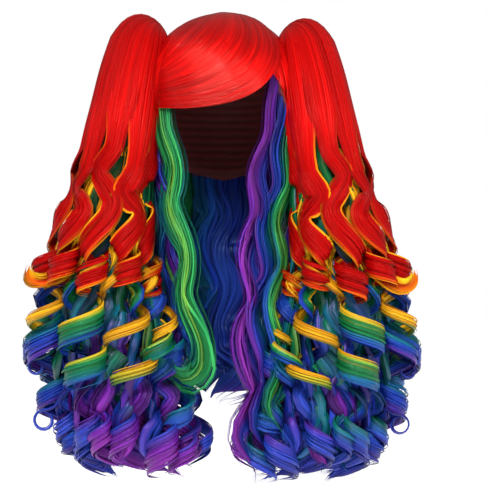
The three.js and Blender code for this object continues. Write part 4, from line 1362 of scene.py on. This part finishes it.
def base_line(row, steps):
    """Spine, facing and half widths of a base lock, from inside the crown's wall to its tip."""
    node, _, degrees, mid_x, mid_y, end_x, end_y, end_z, width, wave, wave_length, phase, root_share = row
    azimuth = math.radians(degrees)
    outward = np.array([math.sin(azimuth), -math.cos(azimuth), 0.0])
    sideways = np.array([math.cos(azimuth), math.sin(azimuth), 0.0])
    wall = np.append((HOLLOW_HALF[:2] + CROWN_HALF[:2]) / 2, CROWN_HALF[2])
    rim = rim_polar(wall, np.array(azimuth))
    rim_point = dome_point(wall, np.array(azimuth), rim)
    root = dome_point(wall, np.array(azimuth), rim - BASE_TUCK)
    mid = np.array([mid_x, mid_y, mix(rim_point[2], end_z, BASE_MID_SHARE)])
    end = np.array([end_x, end_y, end_z])
    knots = np.stack([2 * root - mid, root, mid, end, 2 * end - mid])
    along = np.linspace(0, 1, steps)
    t = along * 2
    i = np.minimum(t.astype(int), 1)
    f = (t - i)[:, None]
    a, b, c, d = (knots[i + k] for k in range(4))
    line = 0.5 * (2 * b + (c - a) * f + (2 * a - 5 * b + 4 * c - d) * f ** 2
                  + (3 * b - a - 3 * c + d) * f ** 3)
    facing = np.broadcast_to(outward, line.shape)
    swing = wave * ease(0, BASE_WAVE_FROM, along)
    turn = math.radians(phase) + math.tau * (root[2] - line[:, 2]) / wave_length
    line = line + sideways * (swing * np.sin(turn))[:, None]
    line = line + outward * (swing * BASE_WAVE_DEPTH * np.cos(turn))[:, None]
    widening = mix(root_share, 1, ease(0, BASE_WIDENING, along))
    if node == BASE_HOOK["lock"]:
        start = BASE_HOOK["from"]
        straight = along <= start
        bend = math.radians(BASE_HOOK["degrees"]) * (along[~straight] - start) / (1 - start)
        hook = np.stack([np.cos(bend) - 1, 0 * bend, -np.sin(bend)], axis=-1) * BASE_HOOK["radius"]
        line[~straight] = line[straight][-1] + hook
        return line, facing, width / 2 * (1 - BASE_HOOK["loss"] * ease(start, 1, along)) * widening
    start = BASE_TIP_CURL["from"]
    rolled = np.clip((along - start) / (1 - start), 0, 1)
    spin = math.tau * BASE_TIP_CURL["turns"] * rolled
    reach = BASE_TIP_CURL["radius"] * ease(0, 0.4, rolled)
    line = line + sideways * (reach * np.sin(spin))[:, None]
    line = line + outward * (reach * (1 - np.cos(spin)) * 0.5)[:, None]
    narrowed = 1 - BASE_TIP_CURL["loss"] * ease(TIP_TAPER_FROM, 1, along)
    return line, facing, width / 2 * narrowed * widening


def add_base_lock(strands, row, steps, depth, count, groups, **fill):
    """A base lock of so many steps and strands, with how it is filled."""
    spine, facing, half = base_line(row, steps)
    across, out = ribbon_axes(spine, facing)
    add_hanging(strands, spine, across, out, half, depth, row[1], count, groups, shade=BASE_SHADE, **fill)


def base_strands(row):
    """A base lock with the looser locks that join it."""
    strands = Strands()
    node = row[0]
    kind = "back" if "back" in node else "front" if node in FRONT_LOCKS else "side"
    add_base_lock(strands, row, **BASE_FORM, **BASE_KINDS[kind])
    for other in LOOSE_BASE:
        if other[0] == node:
            add_base_lock(strands, other, **LOOSE_BASE_FORM)
    return strands


# Camera, floor and light

CAMERA = {"place": (0.0253, -2.40, -0.261), "lens": 150, "sensor": 36}
FLOOR = {"size": 14, "z": -0.62, "shade": 0.93, "glow": 0.68}
WHITE = (1, 1, 1, 1)
# Name, place, aim, size and power.
LIGHTS = [
    ("key", (-0.5, -2.1, 1.3), (0, 0, -0.1), 0.8, 64),
    ("fill", (1.6, -1.8, 0.5), (0, 0, -0.25), 1.4, 25),
]
# Strength of the studio's all-round light, and what of it the gloss shows.
ROOM_LIGHT = 0.36
ROOM_GLOSS = 0.16


def add_camera():
    """A level camera with a long lens, in front of the wig."""
    data = bpy.data.cameras.new("camera")
    data.lens = CAMERA["lens"]
    data.sensor_width = CAMERA["sensor"]
    camera = bpy.data.objects.new("camera", data)
    bpy.context.collection.objects.link(camera)
    camera.location = CAMERA["place"]
    camera.rotation_euler = (math.pi / 2, 0, 0)
    bpy.context.scene.camera = camera


def add_floor():
    """A pale floor that glows a little."""
    bpy.ops.mesh.primitive_plane_add(size=FLOOR["size"], location=(0, 0, FLOOR["z"]))
    floor = bpy.context.object
    floor.name = "floor"
    bpy.ops.object.transform_apply(location=True, rotation=False, scale=False)
    material, _, _, shader = new_material("pale_floor")
    shader.inputs["Base Color"].default_value = (FLOOR["shade"],) * 3 + (1,)
    shader.inputs["Roughness"].default_value = 0.7
    shader.inputs["Emission Color"].default_value = WHITE
    shader.inputs["Emission Strength"].default_value = FLOOR["glow"]
    floor.data.materials.append(material)


def add_light(name, place, aim, size, power):
    """A soft round light at a place, turned to its aim."""
    data = bpy.data.lights.new(name, "AREA")
    data.shape = "DISK"
    data.size = size
    data.energy = power
    light = bpy.data.objects.new(name, data)
    bpy.context.collection.objects.link(light)
    light.location = place
    x, y, z = np.array(aim) - np.array(place)
    light.rotation_euler = (math.atan2(math.hypot(x, y), -z), 0, math.atan2(y, x) - math.pi / 2)


def add_world():
    """A white studio that the camera sees at full strength and the wig more dimly."""
    world = bpy.data.worlds.new("studio")
    world.use_nodes = True
    nodes, links = world.node_tree.nodes, world.node_tree.links
    lit = nodes["Background"]
    lit.inputs["Color"].default_value = WHITE
    seen = add_node(nodes, "Background", {"Color": WHITE})
    ray = add_node(nodes, "LightPath")
    strength = add_node(nodes, "MapRange", {"To Min": ROOM_LIGHT, "To Max": ROOM_GLOSS})
    choice = add_node(nodes, "MixShader")
    links.new(ray.outputs["Is Glossy Ray"], strength.inputs["Value"])
    links.new(strength.outputs["Result"], lit.inputs["Strength"])
    links.new(ray.outputs["Is Camera Ray"], choice.inputs["Fac"])
    links.new(lit.outputs["Background"], choice.inputs[1])
    links.new(seen.outputs["Background"], choice.inputs[2])
    links.new(choice.outputs["Shader"], nodes["World Output"].inputs["Surface"])
    bpy.context.scene.world = world


# Pieces

SIDES = (("left", False, 0.0), ("right", True, RIGHT_PIGTAIL_DROP))
LOCK_STRANDS = {"red": 33, "gold": 20, "green": 30, "blue": 28, "violet": 26}
LOOSE_LOCK_STRANDS = 16
LOCK_CLUMPS = 4
LOOSE_LOCK_CLUMPS = 3


def side_lock(lock, side):
    """A lock with the dye of its side: the right pigtail ends in more blue and green."""
    if side == "left":
        return lock
    return (lock[0], RIGHT_DYES.get((lock[1], lock[2]), lock[1])) + lock[2:]


def pigtail_pieces():
    """The five layers of each pigtail."""
    for layer, count in LOCK_STRANDS.items():
        for side, mirrored, drop in SIDES:
            strands = Strands()
            for table, number, groups in (
                (PIGTAIL_LOCKS, count, LOCK_CLUMPS),
                (LOOSE_LOCKS, LOOSE_LOCK_STRANDS, LOOSE_LOCK_CLUMPS),
            ):
                for lock in table:
                    if lock[0] == layer:
                        add_pigtail_lock(strands, side_lock(lock, side), number, groups)
            if layer == "red":
                add_hood_body(strands)
            add_inner(strands, layer, side)
            if layer == "red":
                add_flip(strands)
            node = f"pigtail_{side}_{layer}"
            worn(hair_piece(f"{node}_hair", strands, HAIR[layer], mirrored, drop), f"{layer}_hair", node)


def crown_pieces():
    """The crown and the fringe, with the crown's lining."""
    for node, strands in (("crown", crown_strands()), ("fringe", fringe_strands())):
        worn(hair_piece(f"{node}_hair", strands, HAIR["crown"]), "red_hair", node)
    lining = lining_piece()
    cloth = woven_material("crown_lining", rows_colour=(0.13, 0.008, 0.008, 1),
                           gap_colour=(0.07, 0.005, 0.005, 1), scale=34, roughness=0.75)
    lining.data.materials.append(cloth)
    worn(lining, "red_hair")


def base_pieces():
    """The locks of base hair."""
    for row in BASE_LOCKS:
        node = row[0]
        colour = node.split("_")[-1]
        worn(hair_piece(f"{node}_hair", base_strands(row), HAIR[colour]), f"{colour}_hair", node)


def loose_pieces():
    """Thin curls that stand off each pigtail, and wavy hair that closes its inner side."""
    for side, mirrored, drop in SIDES:
        strands = Strands()
        for row in WISPS:
            spine, facing, half = wisp_line(row)
            across, out = ribbon_axes(spine, facing)
            add_hanging(strands, spine, across, out, half, WISP_DEPTH, row[0], WISP_STRANDS,
                        groups=2, shade=0.3)
        add_inner(strands, "inner side", side)
        worn(hair_piece(f"pigtail_{side}_loose_hair", strands, HAIR["violet"], mirrored, drop), "violet_hair")


def dress_clips():
    """The clips keep their solids and get a plain dark finish."""
    plastic = woven_material("clip", rows_colour=(0.05, 0.01, 0.01, 1),
                             gap_colour=(0.035, 0.007, 0.007, 1), scale=90, roughness=0.45)
    for node in ("clip_left", "clip_right"):
        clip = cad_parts[node]
        clip.data.materials.clear()
        clip.data.materials.append(plastic)


add_camera()
add_floor()
add_world()
for light in LIGHTS:
    add_light(*light)
bpy.context.scene.view_settings.view_transform = "Standard"
pigtail_pieces()
crown_pieces()
base_pieces()
loose_pieces()
dress_clips()
